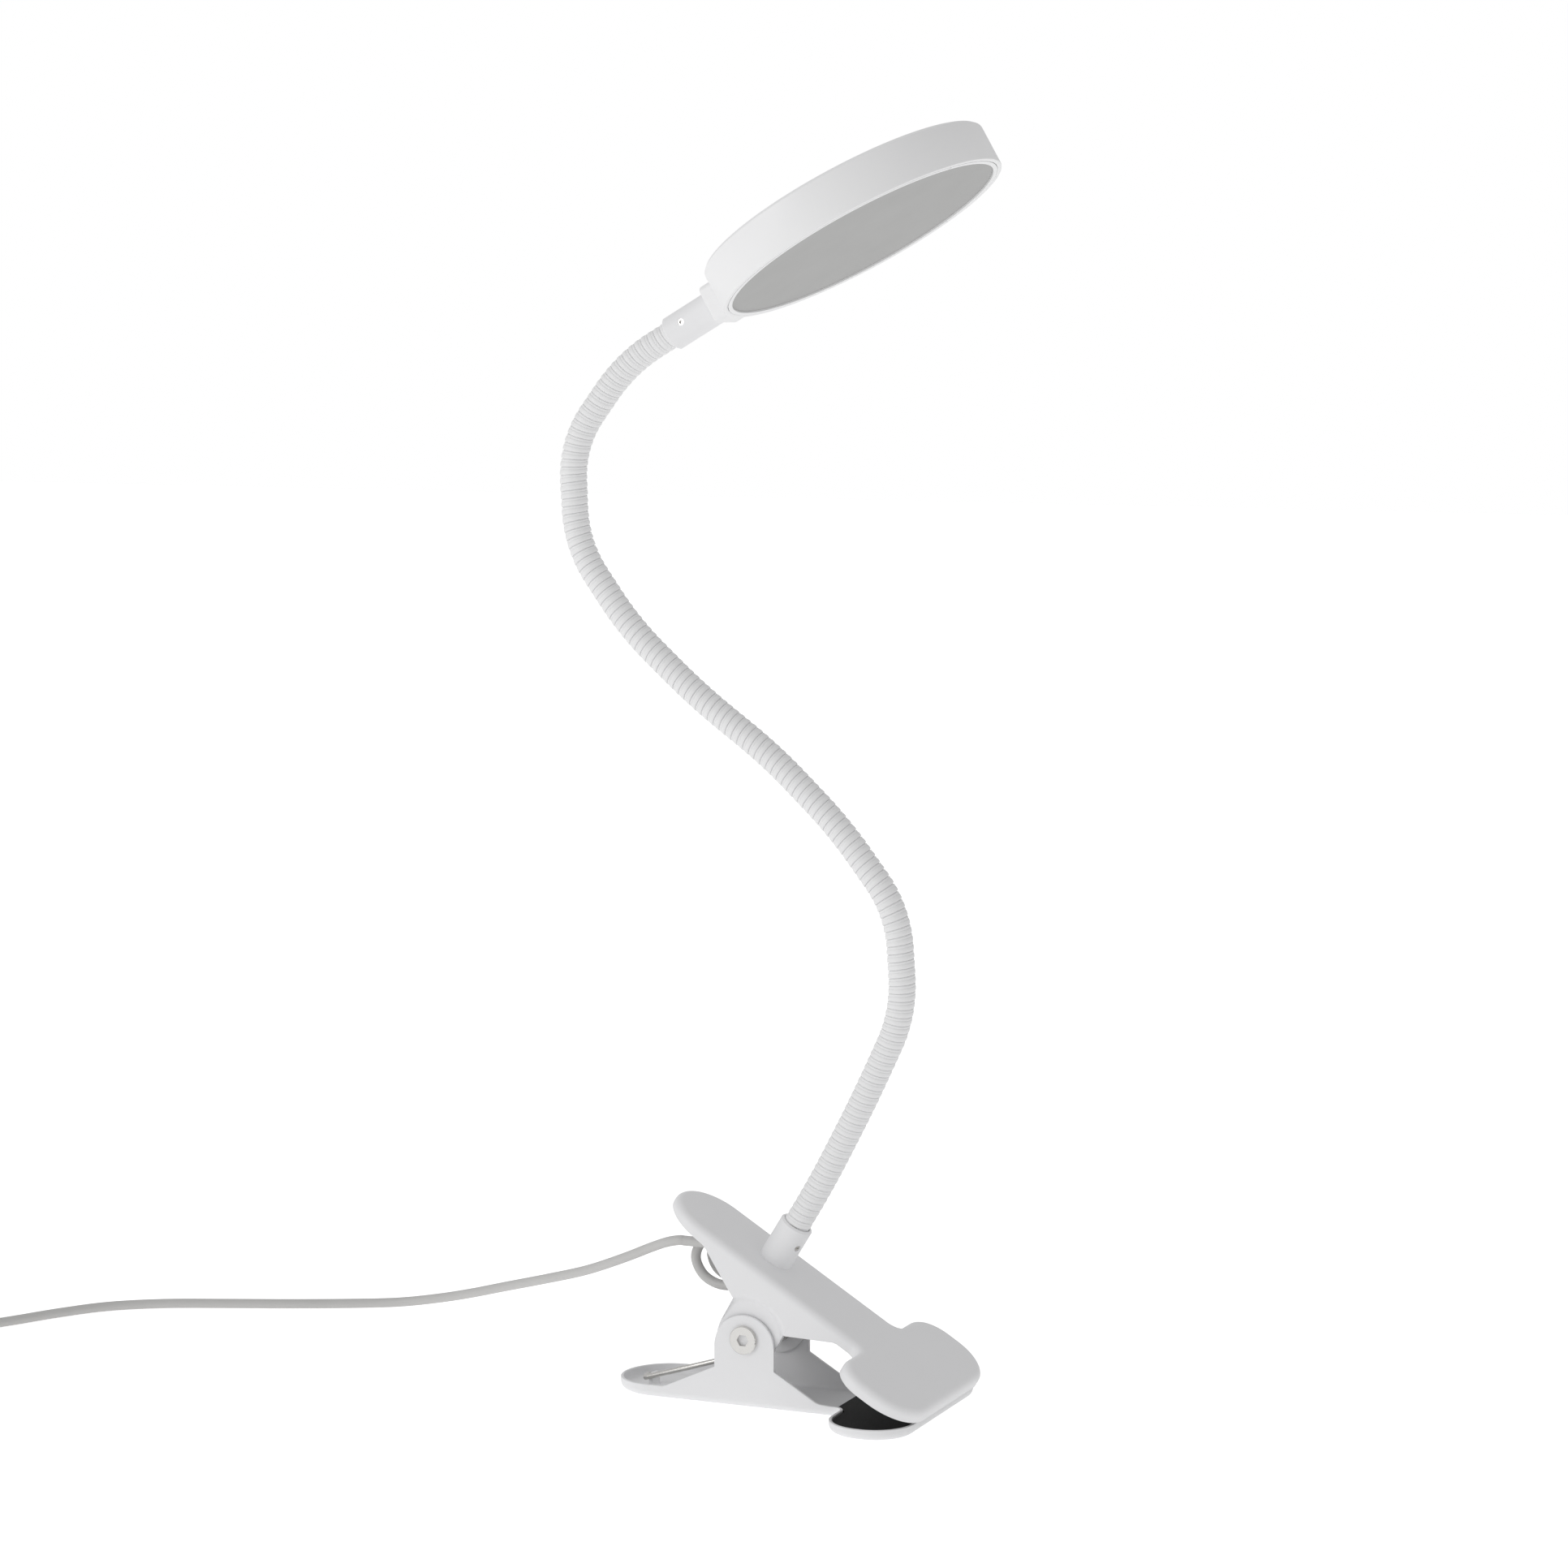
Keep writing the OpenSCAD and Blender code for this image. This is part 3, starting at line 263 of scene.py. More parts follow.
def makeStudio():
    scene = bpy.context.scene
    scene.view_settings.view_transform = "Standard"
    world = bpy.data.worlds.new("studio")
    scene.world = world
    world.use_nodes = True
    nodes, links = world.node_tree.nodes, world.node_tree.links
    background = nodes["Background"]
    seen, mix, path = (nodes.new("ShaderNode" + kind) for kind in ("Background", "MixShader", "LightPath"))
    background.inputs["Color"].default_value = (1, 1, 1, 1)
    place, split, fade = (nodes.new("ShaderNode" + kind) for kind in ("TexCoord", "SeparateXYZ", "MapRange"))
    fade.inputs["From Min"].default_value = -1.0
    fade.inputs["To Min"].default_value = studio["skyLeft"]
    fade.inputs["To Max"].default_value = studio["skyRight"]
    links.new(place.outputs["Generated"], split.inputs["Vector"])
    links.new(split.outputs["X"], fade.inputs["Value"])
    links.new(fade.outputs["Result"], background.inputs["Strength"])
    seen.inputs["Color"].default_value = (1, 1, 1, 1)
    seen.inputs["Strength"].default_value = 1.0
    links.new(path.outputs["Is Camera Ray"], mix.inputs["Fac"])
    links.new(background.outputs["Background"], mix.inputs[1])
    links.new(seen.outputs["Background"], mix.inputs[2])
    links.new(mix.outputs["Shader"], nodes["World Output"].inputs["Surface"])
    areaLight("key", studio["keyPlace"], (0, 0, 0.25), studio["keySize"], studio["keyPower"])
    floorMesh = bpy.data.meshes.new("floor")
    reach = studio["floorReach"]
    corners = [(-reach, -reach, 0), (reach, -reach, 0), (reach, reach, 0), (-reach, reach, 0)]
    floorMesh.from_pydata(corners, [], [(0, 1, 2, 3)])
    floor = bpy.data.objects.new("floor", floorMesh)
    scene.collection.objects.link(floor)
    floor.location.z = -0.0002
    pale = surface("paleFloor", (0.9, 0.9, 0.9), shade=0.005, roughness=(0.7, 0.8), depth=0.0)
    shader = pale.node_tree.nodes["Principled BSDF"]
    shader.inputs["Emission Color"].default_value = (1, 1, 1, 1)
    look, glow = (pale.node_tree.nodes.new("ShaderNode" + kind) for kind in ("LightPath", "MapRange"))
    glow.inputs["To Min"].default_value = studio["floorGlow"]
    glow.inputs["To Max"].default_value = studio["floorSeen"]
    pale.node_tree.links.new(look.outputs["Is Camera Ray"], glow.inputs["Value"])
    pale.node_tree.links.new(glow.outputs["Result"], shader.inputs["Emission Strength"])
    floorMesh.materials.append(pale)


lookFrom((0.62396, -1.43249, 0.40605), (0.0085, 0, 0.22565), "photoView", 20.31)
makeStudio()
print("studio made")


def smoothed(points, steps):
    out = []
    for k in range(len(points) - 1):
        a, b = points[max(k - 1, 0)], points[k]
        c, d = points[k + 1], points[min(k + 2, len(points) - 1)]
        for s in range(steps):
            t = s / steps
            out.append((b * 2 + (c - a) * t + (a * 2 - b * 5 + c * 4 - d) * t * t
                        + (b * 3 - a - c * 3 + d) * t * t * t) * 0.5)
    return out + [points[-1]]


def tubeGroup():
    group, given, result = nodeGroup("tubeAlongPath", "GeometryNodeTree", {
        "Path": ("INPUT", "NodeSocketGeometry"), "Radius": ("INPUT", "NodeSocketFloat"),
        "Sides": ("INPUT", "NodeSocketInt"), "Material": ("INPUT", "NodeSocketMaterial"),
        "Tube": ("OUTPUT", "NodeSocketGeometry")})
    links = group.links
    line, ring, sweep = (group.nodes.new("GeometryNode" + kind) for kind in
                         ("MeshToCurve", "CurvePrimitiveCircle", "CurveToMesh"))
    links.new(given["Path"], line.inputs["Mesh"])
    links.new(given["Radius"], ring.inputs["Radius"])
    links.new(given["Sides"], ring.inputs["Resolution"])
    links.new(line.outputs["Curve"], sweep.inputs["Curve"])
    links.new(ring.outputs["Curve"], sweep.inputs["Profile Curve"])
    sweep.inputs["Fill Caps"].default_value = True
    finishShape(group, sweep.outputs["Mesh"], given["Material"], result["Tube"])
    return group


tubeAlongPath = tubeGroup()


def tube(name, path, radius, sides, material):
    edges = [(k, k + 1) for k in range(len(path) - 1)]
    settings = {"Radius": radius * mm, "Sides": sides, "Material": material}
    return shapedPiece(name, tubeAlongPath, path, edges, settings, 60)


knotRoute = [
    (1.5, 0, 45.6), (0.2, 0, 43.5), (-2.5, 0.2, 41.8), (-6, 0.6, 40.9), (-12, 1.2, 40), (-19, 2, 40),
    (-25, 2.6, 43), (-28, 3, 49), (-25.5, 3.6, 55), (-19, 4.2, 58), (-12, 4.9, 56), (-8, 5.5, 50),
    (-10.5, 6.3, 44.5), (-16, 7, 42), (-21.5, 7.7, 44.5), (-24, 8.3, 50), (-22, 8.8, 55), (-17, 8.6, 57.6),
    (-12, 6, 57.4), (-10, 1, 57), (-12.5, -4.5, 57), (-18, -7.2, 57.1), (-22, -7.2, 57.1), (-26, -7.2, 57.1),
]
bendRoute = [
    (-28, -7.2, 57.1), (-30, -7.2, 57.1), (-36, -5, 55.4), (-45, 0, 51.5), (-60, 8, 44.5), (-82, 22, 35),
    (-106, 36, 26.5), (-130, 49, 18.5), (-150, 58, 12), (-168, 64, 7),
]
runRoute = [
    (-186, 66, 3.4), (-205, 62, 2), (-228, 52, 1.9), (-250, 43, 1.9), (-273, 33, 1.9),
    (-291, 20, 1.9), (-303, 3, 1.9), (-312, -14, 1.9), (-321, -32, 2.2), (-329.5, -50.4, 2.6),
]


def coilRoute():
    step = 2 * lead["radius"]
    layers = [lead["coilLift"] + lead["radius"] + step * k for k in range(3)]
    rings = [lead["coilRadius"] + step, lead["coilRadius"], lead["coilRadius"] - step]
    cells = [(0, 0), (1, 0), (2, 0), (2, 1), (2, 2), (1, 2), (1, 1), (0, 1), (0, 2)]
    first, total, shift = 300.0, 2676.0, 34.0
    each = (total - 2 * first) / 7
    changes = [first + each * k for k in range(8)]
    start = math.degrees(math.atan2(-10.4, 23.5))
    points = []
    for n in range(1, int(total / 6) + 1):
        angle = total * n / int(total / 6)
        cell = sum(1 for c in changes if angle > c + shift / 2)
        ring, height = rings[cells[cell][0]], layers[cells[cell][1]]
        if cell < 8 and angle > changes[cell] - shift / 2:
            t = (angle - changes[cell] + shift / 2) / shift
            t = t * t * (3 - 2 * t)
            ring += (rings[cells[cell + 1][0]] - ring) * t
            height += (layers[cells[cell + 1][1]] - height) * t
        a = math.radians(start - angle)
        centreX, centreY = lead["coilCentre"]
        points.append((centreX + ring * math.cos(a), centreY + ring * math.sin(a), height))
    return points


switchX, switchNear, switchFar, switchMid = -378.7, -2.0, 46.0, 6.5
plugX, plugBack, plugMid, turnY = -400.7, 46.0, 3.8, 56.0
tailInRoute = [(switchX, -32, 9.55), (switchX, -23, 7.9), (switchX, -15, 6.6), (switchX, -12, 6.5),
               (switchX, -6, 6.5), (switchX, switchNear + 3, 6.5)]


def vectors(route):
    return [Vector(p) * mm for p in route]


def makeLead():
    run = smoothed(vectors(knotRoute + bendRoute + runRoute), 6)
    coil = vectors(coilRoute())
    tail = smoothed([coil[-1]] + vectors(tailInRoute), 4)
    path = run + coil + tail[1:]
    piece = tube("leadMain", path, lead["radius"], lead["around"], leadJacket)
    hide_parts("lead_knot", "lead_bend", "lead_run", "lead_coil", "lead_tail_in")
    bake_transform(piece)
    turn = [(switchX - 11 * (1 - math.cos(math.radians(a))), turnY + 11 * math.sin(math.radians(a)),
             switchMid + (plugMid - switchMid) * a / 180) for a in range(0, 181, 12)]
    tailPath = vectors([(switchX, switchFar - 3, switchMid), (switchX, switchFar + 5, switchMid)] + turn
                       + [(plugX, plugBack + 5, plugMid), (plugX, plugBack - 3, plugMid)])
    tail = tube("leadTail", tailPath, lead["radius"], lead["around"], leadJacket)
    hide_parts("lead_tail_out")
    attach(tail, "lower_half")


makeLead()
print("lead made")


def hoseLine(s):
    length, stub = hose["linkLength"], hose["stub"]
    x, z = rotated(hose["sleeveX"], hose["sleeveMouth"], clip["tilt"])
    z += clip["pivotHeight"]
    heading = clip["tilt"]
    last = len(hose["bends"]) - 1
    for i, bend in enumerate(hose["bends"]):
        radius = (length - 2 * stub) / math.radians(bend)
        arcX, arcZ = radius * (1 - math.cos(math.radians(bend))), stub + radius * math.sin(math.radians(bend))
        if s <= length or i == last:
            if s <= stub:
                here, turn = (0, s), 0
            elif s <= length - stub:
                turn = math.degrees((s - stub) / radius)
                here = (radius * (1 - math.cos(math.radians(turn))),
                        stub + radius * math.sin(math.radians(turn)))
            else:
                turn = bend
                over = s - length + stub
                here = (arcX + over * math.sin(math.radians(bend)),
                        arcZ + over * math.cos(math.radians(bend)))
            dx, dz = rotated(*here, heading)
            return Vector((x + dx, 0, z + dz)), heading + turn
        endX, endZ = arcX + stub * math.sin(math.radians(bend)), arcZ + stub * math.cos(math.radians(bend))
        dx, dz = rotated(endX, endZ, heading)
        x, z, heading, s = x + dx, z + dz, heading + bend, s - length


# One turn of the strip: how far along the turn, and how far below the crest
stripProfile = [
    (0.0, 0.62), (0.035, 0.6), (0.05, 0.16), (0.1, 0.05), (0.2, 0.0), (0.36, 0.0), (0.5, 0.03), (0.6, 0.09),
    (0.645, 0.2), (0.68, 0.27), (0.715, 0.2), (0.78, 0.17), (0.88, 0.19), (0.945, 0.3), (0.965, 0.6),
]


def stripGroup():
    group, given, result = nodeGroup("stripRoundHose", "GeometryNodeTree", {
        "Turn Profile": ("INPUT", "NodeSocketGeometry"), "Hose Line": ("INPUT", "NodeSocketObject"),
        "Profile Points": ("INPUT", "NodeSocketInt"), "Turns": ("INPUT", "NodeSocketInt"),
        "First Turn": ("INPUT", "NodeSocketInt"), "Sides": ("INPUT", "NodeSocketInt"),
        "Pitch": ("INPUT", "NodeSocketFloat"), "Radius": ("INPUT", "NodeSocketFloat"),
        "Material": ("INPUT", "NodeSocketMaterial"), "Strip": ("OUTPUT", "NodeSocketGeometry")})
    nodes, links = group.nodes, group.links
    kinds = ("MeshGrid", "InputIndex", "InputPosition")
    sheet, index, place = (nodes.new("GeometryNode" + kind) for kind in kinds)
    columns = maths(group, "ADD", maths(group, "MULTIPLY", given["Turns"], given["Profile Points"]), 1)
    rows = maths(group, "ADD", given["Sides"], 1)
    links.new(columns, sheet.inputs["Vertices X"])
    links.new(rows, sheet.inputs["Vertices Y"])
    column = maths(group, "FLOOR", maths(group, "DIVIDE", maths(group, "ADD", index.outputs[0], 0.5), rows))
    row = maths(group, "SUBTRACT", index.outputs[0], maths(group, "MULTIPLY", column, rows))
    middle = maths(group, "ADD", column, 0.5)
    turn = maths(group, "FLOOR", maths(group, "DIVIDE", middle, given["Profile Points"]))
    step = maths(group, "SUBTRACT", column, maths(group, "MULTIPLY", turn, given["Profile Points"]))
    pick, parts = nodes.new("GeometryNodeSampleIndex"), nodes.new("ShaderNodeSeparateXYZ")
    pick.data_type = "FLOAT_VECTOR"
    links.new(given["Turn Profile"], pick.inputs["Geometry"])
    links.new(place.outputs[0], pick.inputs["Value"])
    links.new(step, pick.inputs["Index"])
    links.new(pick.outputs["Value"], parts.inputs[0])
    spin = maths(group, "DIVIDE", row, given["Sides"])
    whole = maths(group, "ADD", given["First Turn"], turn)
    turned = maths(group, "ADD", whole, maths(group, "ADD", parts.outputs["X"], spin))
    kinds = ("ObjectInfo", "MeshToCurve", "SampleCurve")
    source, line, sample = (nodes.new("GeometryNode" + kind) for kind in kinds)
    sample.mode = "LENGTH"
    sample.use_all_curves = False
    links.new(given["Hose Line"], source.inputs["Object"])
    links.new(source.outputs["Geometry"], line.inputs["Mesh"])
    links.new(line.outputs["Curve"], sample.inputs["Curves"])
    links.new(maths(group, "MULTIPLY", turned, given["Pitch"]), sample.inputs["Length"])
    across = vectorMaths(group, "CROSS_PRODUCT", (0, 1, 0), sample.outputs["Tangent"])
    angle = maths(group, "MULTIPLY", spin, 2 * math.pi)
    out = vectorMaths(group, "ADD", vectorMaths(group, "SCALE", across, scale=maths(group, "COSINE", angle)),
                      vectorMaths(group, "SCALE", (0, 1, 0), scale=maths(group, "SINE", angle)))
    height = maths(group, "SUBTRACT", given["Radius"], parts.outputs["Z"])
    rise = vectorMaths(group, "SCALE", out, scale=height)
    spot = vectorMaths(group, "ADD", sample.outputs["Position"], rise)
    move, weld = nodes.new("GeometryNodeSetPosition"), nodes.new("GeometryNodeMergeByDistance")
    links.new(sheet.outputs["Mesh"], move.inputs["Geometry"])
    links.new(spot, move.inputs["Position"])
    links.new(move.outputs["Geometry"], weld.inputs["Geometry"])
    weld.inputs["Distance"].default_value = 0.000004
    finishShape(group, weld.outputs["Geometry"], given["Material"], result["Strip"])
    return group


def hosePath():
    reach = 2 * hose["seat"] + hose["linkLength"] * len(hose["bends"]) + hose["tip"] + 2 * hose["pitch"]
    steps = int(reach / 0.5)
    points = [hoseLine(reach * k / steps - hose["seat"])[0] * mm for k in range(steps + 1)]
    mesh = bpy.data.meshes.new("hosePath")
    mesh.from_pydata([tuple(p) for p in points], [(k, k + 1) for k in range(steps)], [])
    path = bpy.data.objects.new("hosePath", mesh)
    bpy.context.scene.collection.objects.link(path)
    return path


def stripPiece(name, group, path, fromTurn, toTurn):
    points = [(part, 0, depth * mm) for part, depth in stripProfile]
    settings = {"Hose Line": path, "Profile Points": len(points), "Turns": toTurn - fromTurn, "First Turn": fromTurn,
                "Sides": hose["around"], "Pitch": hose["pitch"] * mm, "Radius": hose["radius"] * mm,
                "Material": hosePaint}
    return shapedPiece(name, group, points, [], settings, 50)


def makeHose():
    length, pitch, count = hose["linkLength"], hose["pitch"], len(hose["bends"])
    bodies = ["upper_half"] + ["hose_%d" % i for i in range(2, count)] + ["head"]

    def turnAt(s):
        return round((s + hose["seat"]) / pitch)

    strip, path = stripGroup(), hosePath()
    start = 0
    for i in range(count + 1):
        middle = (i + 0.5) * length
        stop = turnAt(middle) if i < count else turnAt(count * length + hose["tip"] + hose["seat"])
        piece = stripPiece("hosePart%02d" % (i + 1), strip, path, start, stop)
        if i == 0:
            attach(piece, bodies[0])
        elif i == count:
            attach(piece, bodies[-1])
        else:
            before, after = hoseLine(i * length - 17)[0] * mm, hoseLine(i * length + 17)[0] * mm
            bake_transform(piece)
        if i < count:
            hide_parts("gooseneck_link_%d" % (i + 1))
        start = stop
    bpy.data.objects.remove(path)


makeHose()
print("gooseneck made")


def leverOutline(back, front, jawWidth, backRadius, frontRadius):
    hw, jaw, web = clip["halfWidth"], clip["jawBack"], clip["webRadius"]
    half = jawWidth / 2
    rows = []

    def arc(cx, cy, radius, a0, a1, hollow=False):
        steps = max(3, int(abs(a1 - a0) / 5))
        for k in range(steps + 1):
            a = math.radians(a0 + (a1 - a0) * k / steps)
            n = (-math.cos(a), -math.sin(a)) if hollow else (math.cos(a), math.sin(a))
            rows.append((cx + radius * math.cos(a), cy + radius * math.sin(a), *n))

    arc(back + hw, 0, hw, 180, 90)
    x = back + hw
    while x < jaw - web:
        x += 0.6 if -19 < x < 19 else 1.5
        if x < jaw - web - 0.3:
            rows.append((x, hw, 0, 1))
        for edge in clip["earEdges"]:
            if x < edge <= x + 0.6:
                rows.append((edge - 0.01, hw, 0, 1))
                rows.append((edge + 0.01, hw, 0, 1))
    arc(jaw - web, hw + web, web, -90, 0, hollow=True)
    arc(jaw + backRadius, half - backRadius, backRadius, 180, 90)
    arc(front - frontRadius, half - frontRadius, frontRadius, 90, 0)
    for k in range(1, 6):
        rows.append((front, (half - frontRadius) * (1 - k / 6), 1, 0))
    mirrored = [(x, -y, nx, -ny) for x, y, nx, ny in reversed(rows[1:])]
    return rows + [(front, 0, 1, 0)] + mirrored


def between(x, table):
    for (x0, z0), (x1, z1) in zip(table, table[1:]):
        if x <= x1:
            return z0 + (z1 - z0) * (x - x0) / (x1 - x0)
    return table[-1][1]


def bentSheet(name, outline, face, way, wallEnd, shove, place):
    radius, sheet, rows = clip["bendRadius"], clip["sheet"], 30
    verts, faces = [], []
    count = len(outline)
    rings = []

    def ring(points):
        rings.append(len(verts))
        verts.extend(points)

    def at(row, inset, z):
        x, y, nx, ny = row
        px, py = x - nx * inset, y - ny * inset
        return place(px, shove(px, py, z), z)

    def skin(thick):
        rim = radius - thick
        parts = [[at(r, radius + 0.6, face - way * thick) for r in outline]]
        for k in range(7):
            a = math.radians(90 * k / 6)
            inset, drop = radius - rim * math.sin(a), radius - rim * math.cos(a)
            parts.append([at(r, inset, face - way * drop) for r in outline])
        for k in range(1, rows + 1):
            t = k / rows
            part = []
            for r in outline:
                top = face - way * radius
                end = wallEnd(r[0], r[1]) + way * 0.22
                part.append(at(r, thick, top + (end - top) * t))
            parts.append(part)
        return parts

    outer, inner = skin(0.0), skin(sheet)
    for part in outer:
        ring(part)
    ring([at(r, 0.22, wallEnd(r[0], r[1])) for r in outline])
    ring([at(r, sheet - 0.22, wallEnd(r[0], r[1])) for r in outline])
    for part in reversed(inner):
        ring(part)
    for a, b in zip(rings, rings[1:]):
        for k in range(count):
            j = (k + 1) % count
            faces.append((a + k, a + j, b + j, b + k))
    faces.append(tuple(rings[0] + k for k in range(count)))
    faces.append(tuple(rings[-1] + k for k in range(count)))
    return meshPiece(name, verts, faces, whitePaint, 32)


# Where each lever's wall ends: how far along the lever, and how high
upperWall = [(-60, 21.9), (-31, 20), (-12, 10.6), (-11.51, 10.4), (-11.5, 0), (11.5, 0), (11.51, 10.4),
             (29, 20.4), (80, 20.4)]
lowerWall = [(-60, 4.3), (-32, 4.7), (-11.71, 14), (-11.7, 22.3), (11.7, 22.3), (11.71, 14.3), (28.8, 4.2),
             (34.2, 3.8), (37, 4.0), (80, 4.0)]


def upperEnd(x, y):
    if abs(y) < 18 and abs(x) < 11.5 and abs(y) > 16:
        return -math.sqrt(11.5 ** 2 - x * x)
    return between(x, upperWall)


def lowerEnd(x, y):
    if abs(y) < 18 and abs(x) < 11.7 and abs(y) > 16:
        return 22.3 + math.sqrt(11.7 ** 2 - x * x)
    return between(x, lowerWall)


def joggled(x, y, z):
    if abs(y) < 12 or z > 17:
        return y
    t = min(1.0, max(0.0, (16.2 - math.hypot(x, z)) / 2.2))
    return y - math.copysign(1.7 * t * t * (3 - 2 * t), y)


springTab = {
    "place": -42.6, "thick": 1.2, "side": -6.6, "width": 7.0, "height": 5.8, "slot": 5.4, "corner": 1.6,
    "slotCorner": 0.8,
}


def block(name, x0, x1, y0, y1, z0, z1, corner):
    ring = []
    for cy, cz, turn in ((y1 - corner, z1 - corner, 0), (y0 + corner, z1 - corner, 90)):
        for k in range(5):
            a = math.radians(turn + 22.5 * k)
            ring.append((cy + corner * math.cos(a), cz + corner * math.sin(a)))
    ring += [(y0, z0), (y1, z0)]
    verts = [Vector((x, y, z)) * mm for x in (x0, x1) for y, z in ring]
    count = len(ring)
    faces = [(k, (k + 1) % count, count + (k + 1) % count, count + k) for k in range(count)]
    faces += [tuple(range(count)), tuple(range(count, 2 * count))]
    return meshPiece(name, verts, faces, whitePaint, 32)


def lancedTab(lever):
    x, y = springTab["place"], springTab["side"]
    width, thick = springTab["width"], springTab["thick"]
    slot = block("tabSlot", x + thick, x + thick + springTab["slot"], y, y + width, -3, 3,
                 springTab["slotCorner"])
    tab = block("tab", x, x + thick, y, y + width, 0.5, springTab["height"], springTab["corner"])
    for tool, operation in ((slot, "DIFFERENCE"), (tab, "UNION")):
        carve = lever.modifiers.new(tool.name, "BOOLEAN")
        carve.operation, carve.object, carve.solver = operation, tool, "EXACT"
    bpy.context.view_layer.update()
    mesh = bpy.data.meshes.new_from_object(lever.evaluated_get(bpy.context.evaluated_depsgraph_get()))
    lever.modifiers.clear()
    lever.data = mesh
    mesh.set_sharp_from_angle(angle=math.radians(32))
    for tool in (slot, tab):
        bpy.data.objects.remove(tool)
    return lever


def makeClip():
    clip["earEdges"] = (-11.5, 11.5)
    upper = bentSheet("upperLever", leverOutline(-53, 72.5, 84, 12, 17), 25.5, 1, upperEnd, joggled, onLever)
    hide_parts("upper_lever")
    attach(upper, "upper_half")
    clip["earEdges"] = (-11.7, 11.7)
    lower = bentSheet("lowerLever", leverOutline(-55.5, 70.5, 86, 15, 15), 0, -1, lowerEnd, lambda x, y, z: y,
                      lambda x, y, z: Vector((x, y, z)) * mm)
    lower = lancedTab(lower)
    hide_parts("lower_lever")
    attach(lower, "lower_half")


makeClip()
print("clip made")


def tangentPoint(px, pz, radius, side):
    reach = math.hypot(px, pz)
    spread = math.acos(radius / reach)
    return math.atan2(pz, px) + side * spread


spring = {
    "coilRadius": 6.25, "wireRadius": 1.0, "near": -8.0, "far": 12.5, "turns": 9,
    "lowerHook": (-44.0, 4.6), "upperHook": (-33, 23.2),  # the upper one along and above the upper lever
}


def makeSpring():
    radius, wireRadius = spring["coilRadius"], spring["wireRadius"]
    y0, y1, turns = spring["near"], spring["far"], spring["turns"]
    height = clip["pivotHeight"]
    low = spring["lowerHook"]
    upX, upZ = rotated(*spring["upperHook"], clip["tilt"])
    a0 = tangentPoint(low[0], low[1] - height, radius, 1)
    a1 = tangentPoint(upX, upZ, radius, -1)
    while a1 < a0:
        a1 += 2 * math.pi
    sweep = a1 - a0 + 2 * math.pi * turns
    route = [(low[0], y0 + 4.2, low[1] + 0.3), (low[0], y0 + 1.6, low[1] + 0.05),
             (low[0] + 0.5, y0 + 0.5, low[1] + 0.1), (low[0] + 1.8, y0, low[1] + 0.55)]
    steps = int(math.degrees(sweep) / 10)
    for k in range(steps + 1):
        a = a0 + sweep * k / steps
        route.append((radius * math.cos(a), y0 + (y1 - y0) * k / steps, height + radius * math.sin(a)))
    route += [(upX + 0.6, y1, upZ + height - 1.5), (upX, y1 - 0.6, upZ + height - 0.3),
              (upX - 0.1, y1 - 4, upZ + height)]
    piece = tube("torsionSpring", vectors(route), wireRadius, 14, springSteel)
    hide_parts("torsion_spring")
    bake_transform(piece)


makeSpring()
print("spring made")


head = {
    "sleeve": 20.4, "neckLength": 5.4, "neckWidth": 19.0, "neckHeight": 14.4, "neckRound": 2.4, "radius": 55.0,
}
headPlace, headHeading = hoseLine(len(hose["bends"]) * hose["linkLength"] + hose["tip"])


def onHead(x, y, z):
    px, pz = rotated(x, z, headHeading - 90)
    return Vector((px, y, pz)) * mm + headPlace * mm


def lathe(name, profile, segments, centre, material, angle=32):
    verts, faces = [], []
    for r, z in profile:
        for k in range(segments):
            a = 2 * math.pi * k / segments
            verts.append(onHead(centre + r * math.cos(a), r * math.sin(a), z))
    rows = len(profile)
    for i in range(rows - 1):
        for k in range(segments):
            j = (k + 1) % segments
            faces.append((i * segments + k, i * segments + j, (i + 1) * segments + j, (i + 1) * segments + k))
    faces.append(tuple(range(segments)))
    faces.append(tuple((rows - 1) * segments + k for k in range(segments)))
    return meshPiece(name, verts, faces, material, angle)


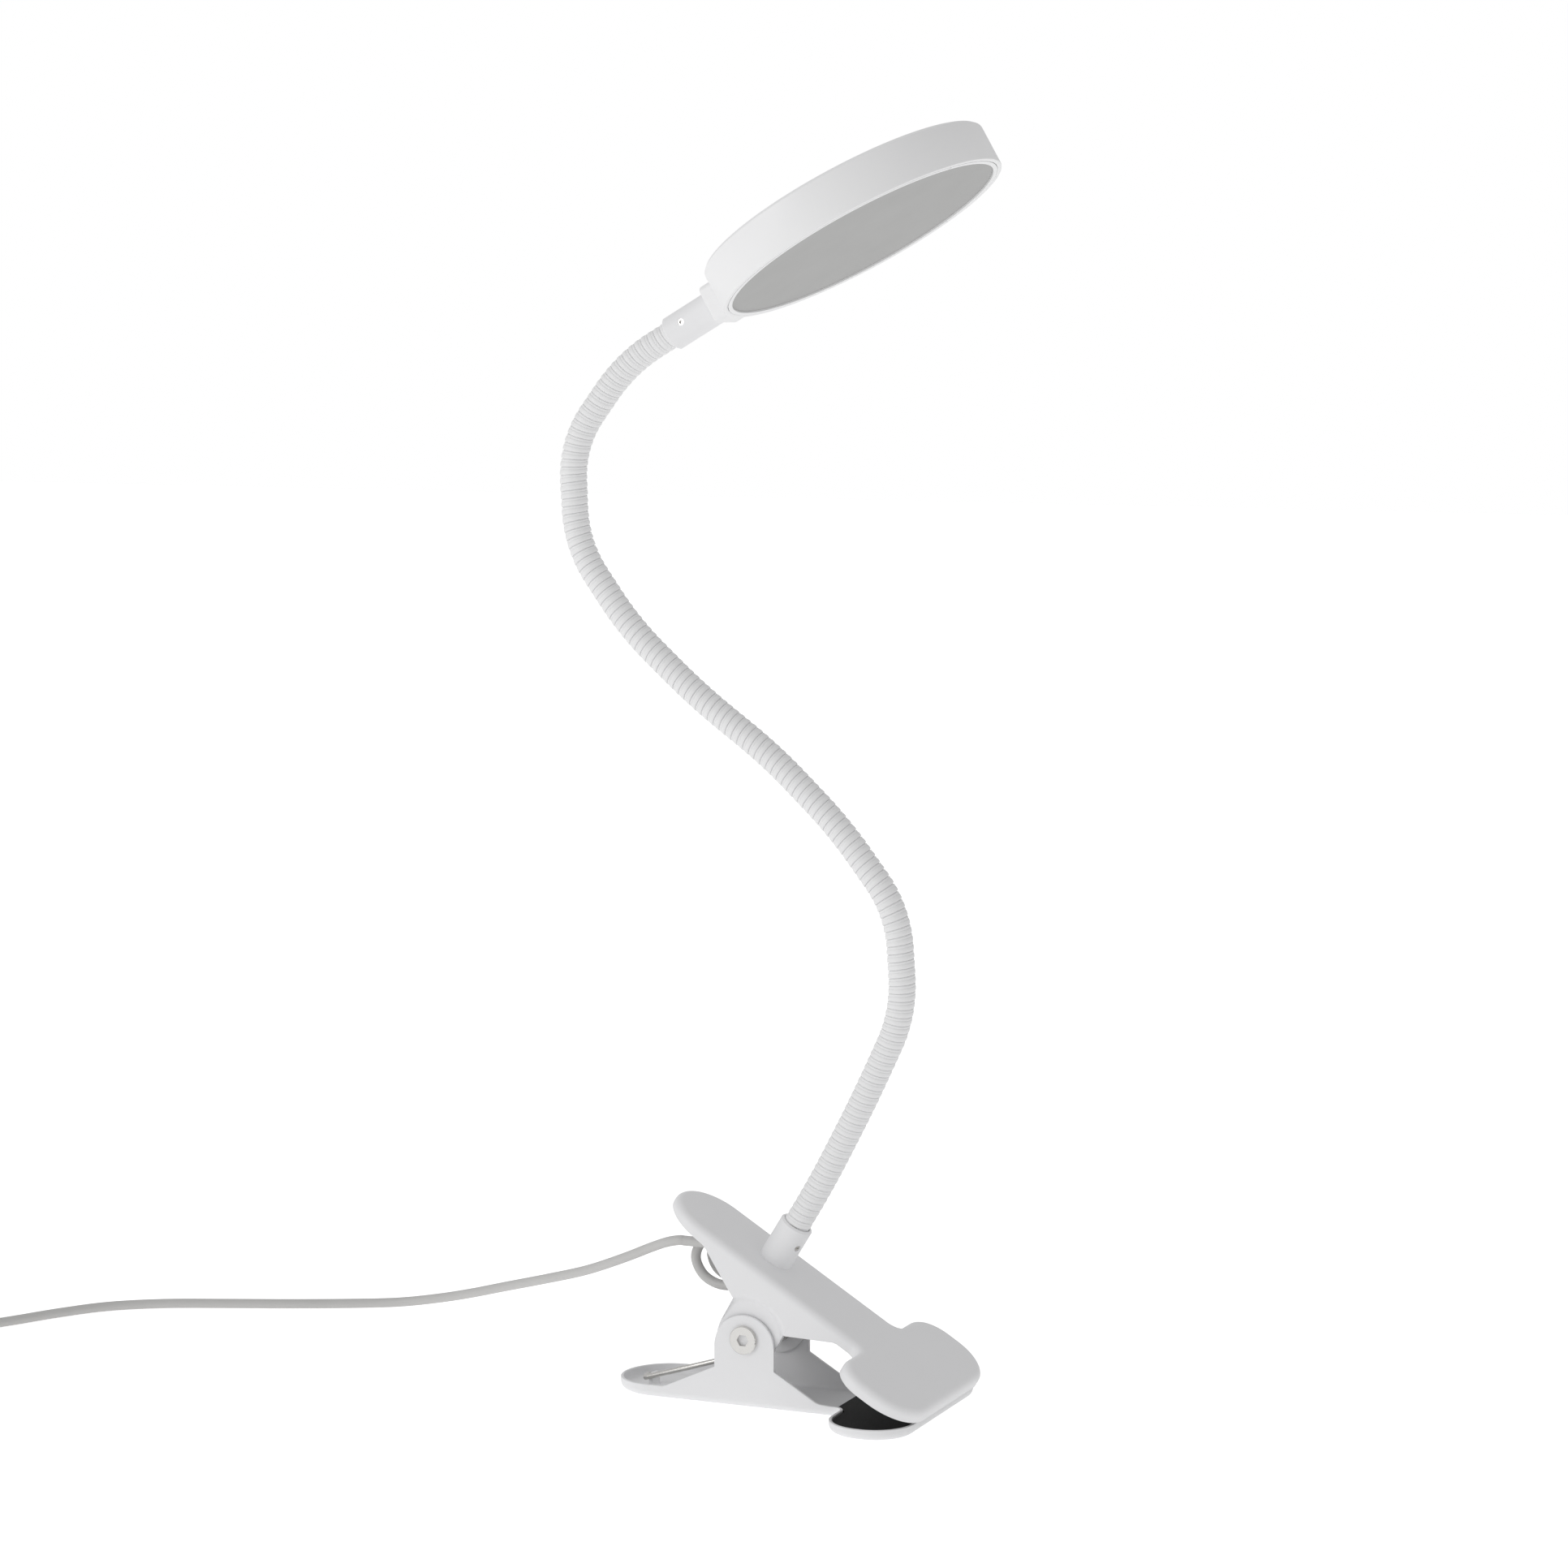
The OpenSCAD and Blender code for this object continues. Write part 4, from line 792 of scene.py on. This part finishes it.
def makeHead():
    centre = head["sleeve"] + head["neckLength"] + head["radius"]
    # The housing's section, from inside round the front rim and the outer wall to the back
    turned = [(52.0, 6.2), (53.2, 5.4), (53.2, -7.6), (53.4, -7.9), (53.7, -8.0), (54.5, -8.0), (54.85, -7.85),
              (55.0, -7.5), (55.0, 6.5), (54.9, 6.9), (54.0, 7.75), (53.5, 7.95), (53.0, 8.0), (51.5, 8.0)]
    shell = lathe("headShell", turned, 144, centre, whitePlastic)
    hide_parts("head_housing")
    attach(shell, "head")
    verts, faces = [], []
    rounds = 6
    sections = [(0.0, 1.0), (0.08, 0.62), (0.3, 0.29), (0.6, 0.08), (1.0, 0.0), (head["neckLength"] + 0.9, 0.0)]
    for along, inset in sections:
        x = head["sleeve"] + along
        hy, hz = head["neckWidth"] / 2 - inset, head["neckHeight"] / 2 - inset
        r = head["neckRound"] - inset * 0.6
        for quadrant in range(4):
            for k in range(rounds + 1):
                a = math.radians(90 * quadrant + 90 * k / rounds)
                sy = 1 if quadrant in (0, 3) else -1
                sz = 1 if quadrant in (0, 1) else -1
                verts.append(onHead(x, sy * (hy - r) + r * math.cos(a), sz * (hz - r) + r * math.sin(a)))
    count = 4 * (rounds + 1)
    for i in range(len(sections) - 1):
        for k in range(count):
            j = (k + 1) % count
            faces.append((i * count + k, i * count + j, (i + 1) * count + j, (i + 1) * count + k))
    faces.append(tuple(range(count)))
    faces.append(tuple((len(sections) - 1) * count + k for k in range(count)))
    block = meshPiece("neckBlock", verts, faces, whitePlastic, 40)
    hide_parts("neck_block")
    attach(block, "head")


makeHead()
print("head made")


finishes = {
    whitePlastic: ["trim_ring", "switch_base", "switch_cover", "plug_body", "plug_tongue"],
    whitePaint: ["lower_sleeve", "upper_sleeve"],
    diffuserSheet: ["diffuser"], reflectorWhite: ["reflector_ring"], boardWhite: ["led_board"],
    phosphor: ["leds"],
    nickel: ["board_screws", "neck_screws", "upper_grub_screw", "lower_grub_screw", "sleeve_nut", "pivot_screws",
             "pivot_bush", "plug_shell"],
    padRubber: ["upper_pad", "lower_pad", "lead_grommet", "coil_tie"],
    leadJacket: ["lead_reliefs"] + ["lead_core_%d" % i for i in range(1, 12)],
    nylon: ["pivot_washers"], buttonGrey: ["switch_button"], boardGreen: ["switch_board"],
}


def finishNodes():
    for material, names in finishes.items():
        for name in names:
            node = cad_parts[name]
            if node.material_slots:
                for slot in node.material_slots:
                    slot.material = material
            else:
                node.data.materials.append(material)


finishNodes()
print("finishes given")
